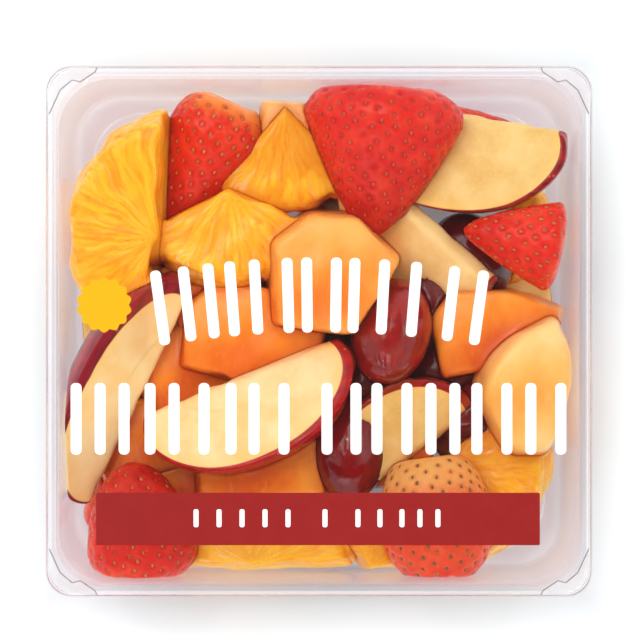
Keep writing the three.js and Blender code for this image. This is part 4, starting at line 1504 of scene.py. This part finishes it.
def bar_tree(finish):
    """A tree that lays a thin rounded bar on each point of a mesh."""
    tree = bpy.data.node_groups.new("bars_on_points", "GeometryNodeTree")
    tree.interface.new_socket("Geometry", in_out="INPUT", socket_type="NodeSocketGeometry")
    for name in ("Bar width", "Bar height", "Corner", "Ink"):
        tree.interface.new_socket(name, in_out="INPUT", socket_type="NodeSocketFloat")
    tree.interface.new_socket("Geometry", in_out="OUTPUT", socket_type="NodeSocketGeometry")
    given = add(tree, "NodeGroupInput").outputs
    outline = add(tree, "GeometryNodeCurvePrimitiveQuadrilateral",
                  {"Width": given["Bar width"], "Height": given["Bar height"]}).outputs[0]
    outline = add(tree, "GeometryNodeFilletCurve",
                  {"Curve": outline, "Radius": given["Corner"], "Count": 6}, mode="POLY").outputs[0]
    face = add(tree, "GeometryNodeFillCurve", {"Curve": outline}, mode="NGONS").outputs[0]
    lift = add(tree, "ShaderNodeCombineXYZ", {"Z": given["Ink"]}).outputs[0]
    raised = add(tree, "GeometryNodeExtrudeMesh",
                 {"Mesh": face, "Offset": lift, "Individual": False}).outputs[0]
    under = add(tree, "GeometryNodeFlipFaces", {"Mesh": face}).outputs[0]
    whole = add(tree, "GeometryNodeJoinGeometry")
    for part in (raised, under):
        tree.links.new(part, whole.inputs[0])
    closed = add(tree, "GeometryNodeMergeByDistance",
                 {"Geometry": whole.outputs[0], "Distance": 1e-6}).outputs[0]
    lean = add(tree, "GeometryNodeInputNamedAttribute", {"Name": "lean"}, data_type="FLOAT")
    turn = add(tree, "ShaderNodeCombineXYZ", {"Z": lean.outputs["Attribute"]}).outputs[0]
    laid = add(tree, "GeometryNodeInstanceOnPoints",
               {"Points": given["Geometry"], "Instance": closed, "Rotation": turn})
    real = add(tree, "GeometryNodeRealizeInstances", {"Geometry": laid.outputs[0]}).outputs[0]
    coloured = add(tree, "GeometryNodeSetMaterial", {"Geometry": real, "Material": finish}).outputs[0]
    add(tree, "NodeGroupOutput", {"Geometry": coloured})
    return tree


BAR_TREE = bar_tree(WHITE_INK)
print("nodes in the bars' tree:", len(BAR_TREE.nodes))

# %% [markdown]
# ## Rows of bars
# The upper row follows a low arch, and its bars lean out with it. The lower row is straight and a little
# closer set. The marks on the banner are the same bars, much smaller, in the middle of the red.

# %% Lay the bars


def lay_bars(name, bars, width, height, corner, low=INK_BASE):
    """A row of bars of one size in millimetres; each is (across, down, lean), in pixels and degrees."""
    points = [(*on_film(px, py), low) for px, py, _ in bars]
    lean = np.radians([-turn for _, _, turn in bars])
    base = mesh_object(name + "_points", points, [], WHITE_INK, {"lean": lean})
    sizes = {"Bar width": width * MM, "Bar height": height * MM, "Corner": corner * MM, "Ink": INK * MM}
    printed(grown(name, base, BAR_TREE, sizes), "print_white")
    return len(bars)


ARCH_MIDDLES = [160, 187, 211, 232, 256, 288, 307, 336, 354, 383, 414, 451, 479]
ROW_MIDDLES = [76, 100, 124, 150, 174, 204, 231, 254, 284, 327, 356, 377, 407, 431, 455, 477, 507, 531, 561]
MARK_MIDDLES = [196, 219, 242, 265, 288, 325, 358, 380, 402, 420, 438]
ROW_DOWN = 419
MARKS_DOWN = 518.5


def arch_bar(px):
    """Place and lean of an upper bar: the farther out, the lower it stands and the more it leans."""
    aside = (px - 320) / 160
    return px, 295 + 13 * aside * aside, 8 * aside


arch = [arch_bar(px) for px in ARCH_MIDDLES]
row = [(px, ROW_DOWN, 0) for px in ROW_MIDDLES]
marks = [(px, MARKS_DOWN, 0) for px in MARK_MIDDLES]
bar_count = lay_bars("print_arch_bars", arch, 2.8, 19.2, 1.2)
bar_count += lay_bars("print_row_bars", row, 2.8, 18.3, 1.2)
bar_count += lay_bars("print_banner_marks", marks, 1.3, 4.6, 0.5, INK_BASE + INK)
print("printed bars:", bar_count)

# %% [markdown]
# ## The table
# A plain white table carries the pack. It isn't part of the object, so it is only staged. The table glows
# with painted light: a little under the pack, so that its clear base looks bright at the corners, least at
# the pack's edge, where the dip is a painted shadow, and more beyond, so that the table stays white there.
# Each stop is a share of 100 mm from the pack's middle and a colour, and the pack itself ends at 0.70.

# %% Floor
FLOOR_HALF = 2500
PAINTED_GLOW_STOPS = [(0.60, (0.17, 0.18, 0.19, 1)), (0.70, (0.02, 0.08, 0.09, 1)), (0.84, (0.26, 0.36, 0.37, 1))]


def floor_finish():
    """A white table with a painted glow, least of all in a painted shadow along the pack's edge."""
    finish, tree, shader = new_finish("white_table")
    place = add(tree, "ShaderNodeTexCoord").outputs["Object"]
    soft = noise(tree, place, 3, 2)
    tree.links.new(ramp(tree, soft, [(0.3, tone(228, 228, 230)), (0.7, tone(232, 232, 234))]),
                   shader.inputs["Base Color"])
    tree.links.new(level(tree, soft, 0, 1, 0.7, 0.9), shader.inputs["Roughness"])
    shader.inputs["Specular IOR Level"].default_value = 0.1
    apart = add(tree, "ShaderNodeVectorMath", {0: place}, operation="ABSOLUTE").outputs[0]
    sides = add(tree, "ShaderNodeSeparateXYZ", {0: apart}).outputs
    farthest = maths(tree, "MAXIMUM", sides["X"], sides["Y"])
    # Painted light under and round the pack, least in a painted shadow along its edge.
    painted_glow = ramp(tree, level(tree, farthest, 0, 0.1), PAINTED_GLOW_STOPS)
    tree.links.new(painted_glow, shader.inputs["Emission Color"])
    shader.inputs["Emission Strength"].default_value = 1
    return finish


floor_corners = [(x * FLOOR_HALF, y * FLOOR_HALF, 0) for x, y in ((-1, -1), (1, -1), (1, 1), (-1, 1))]
floor = mesh_object("table_top", floor_corners, [[0, 1, 2, 3]], floor_finish(), smooth=False)
print("the table is", 2 * FLOOR_HALF * MM, "m wide")
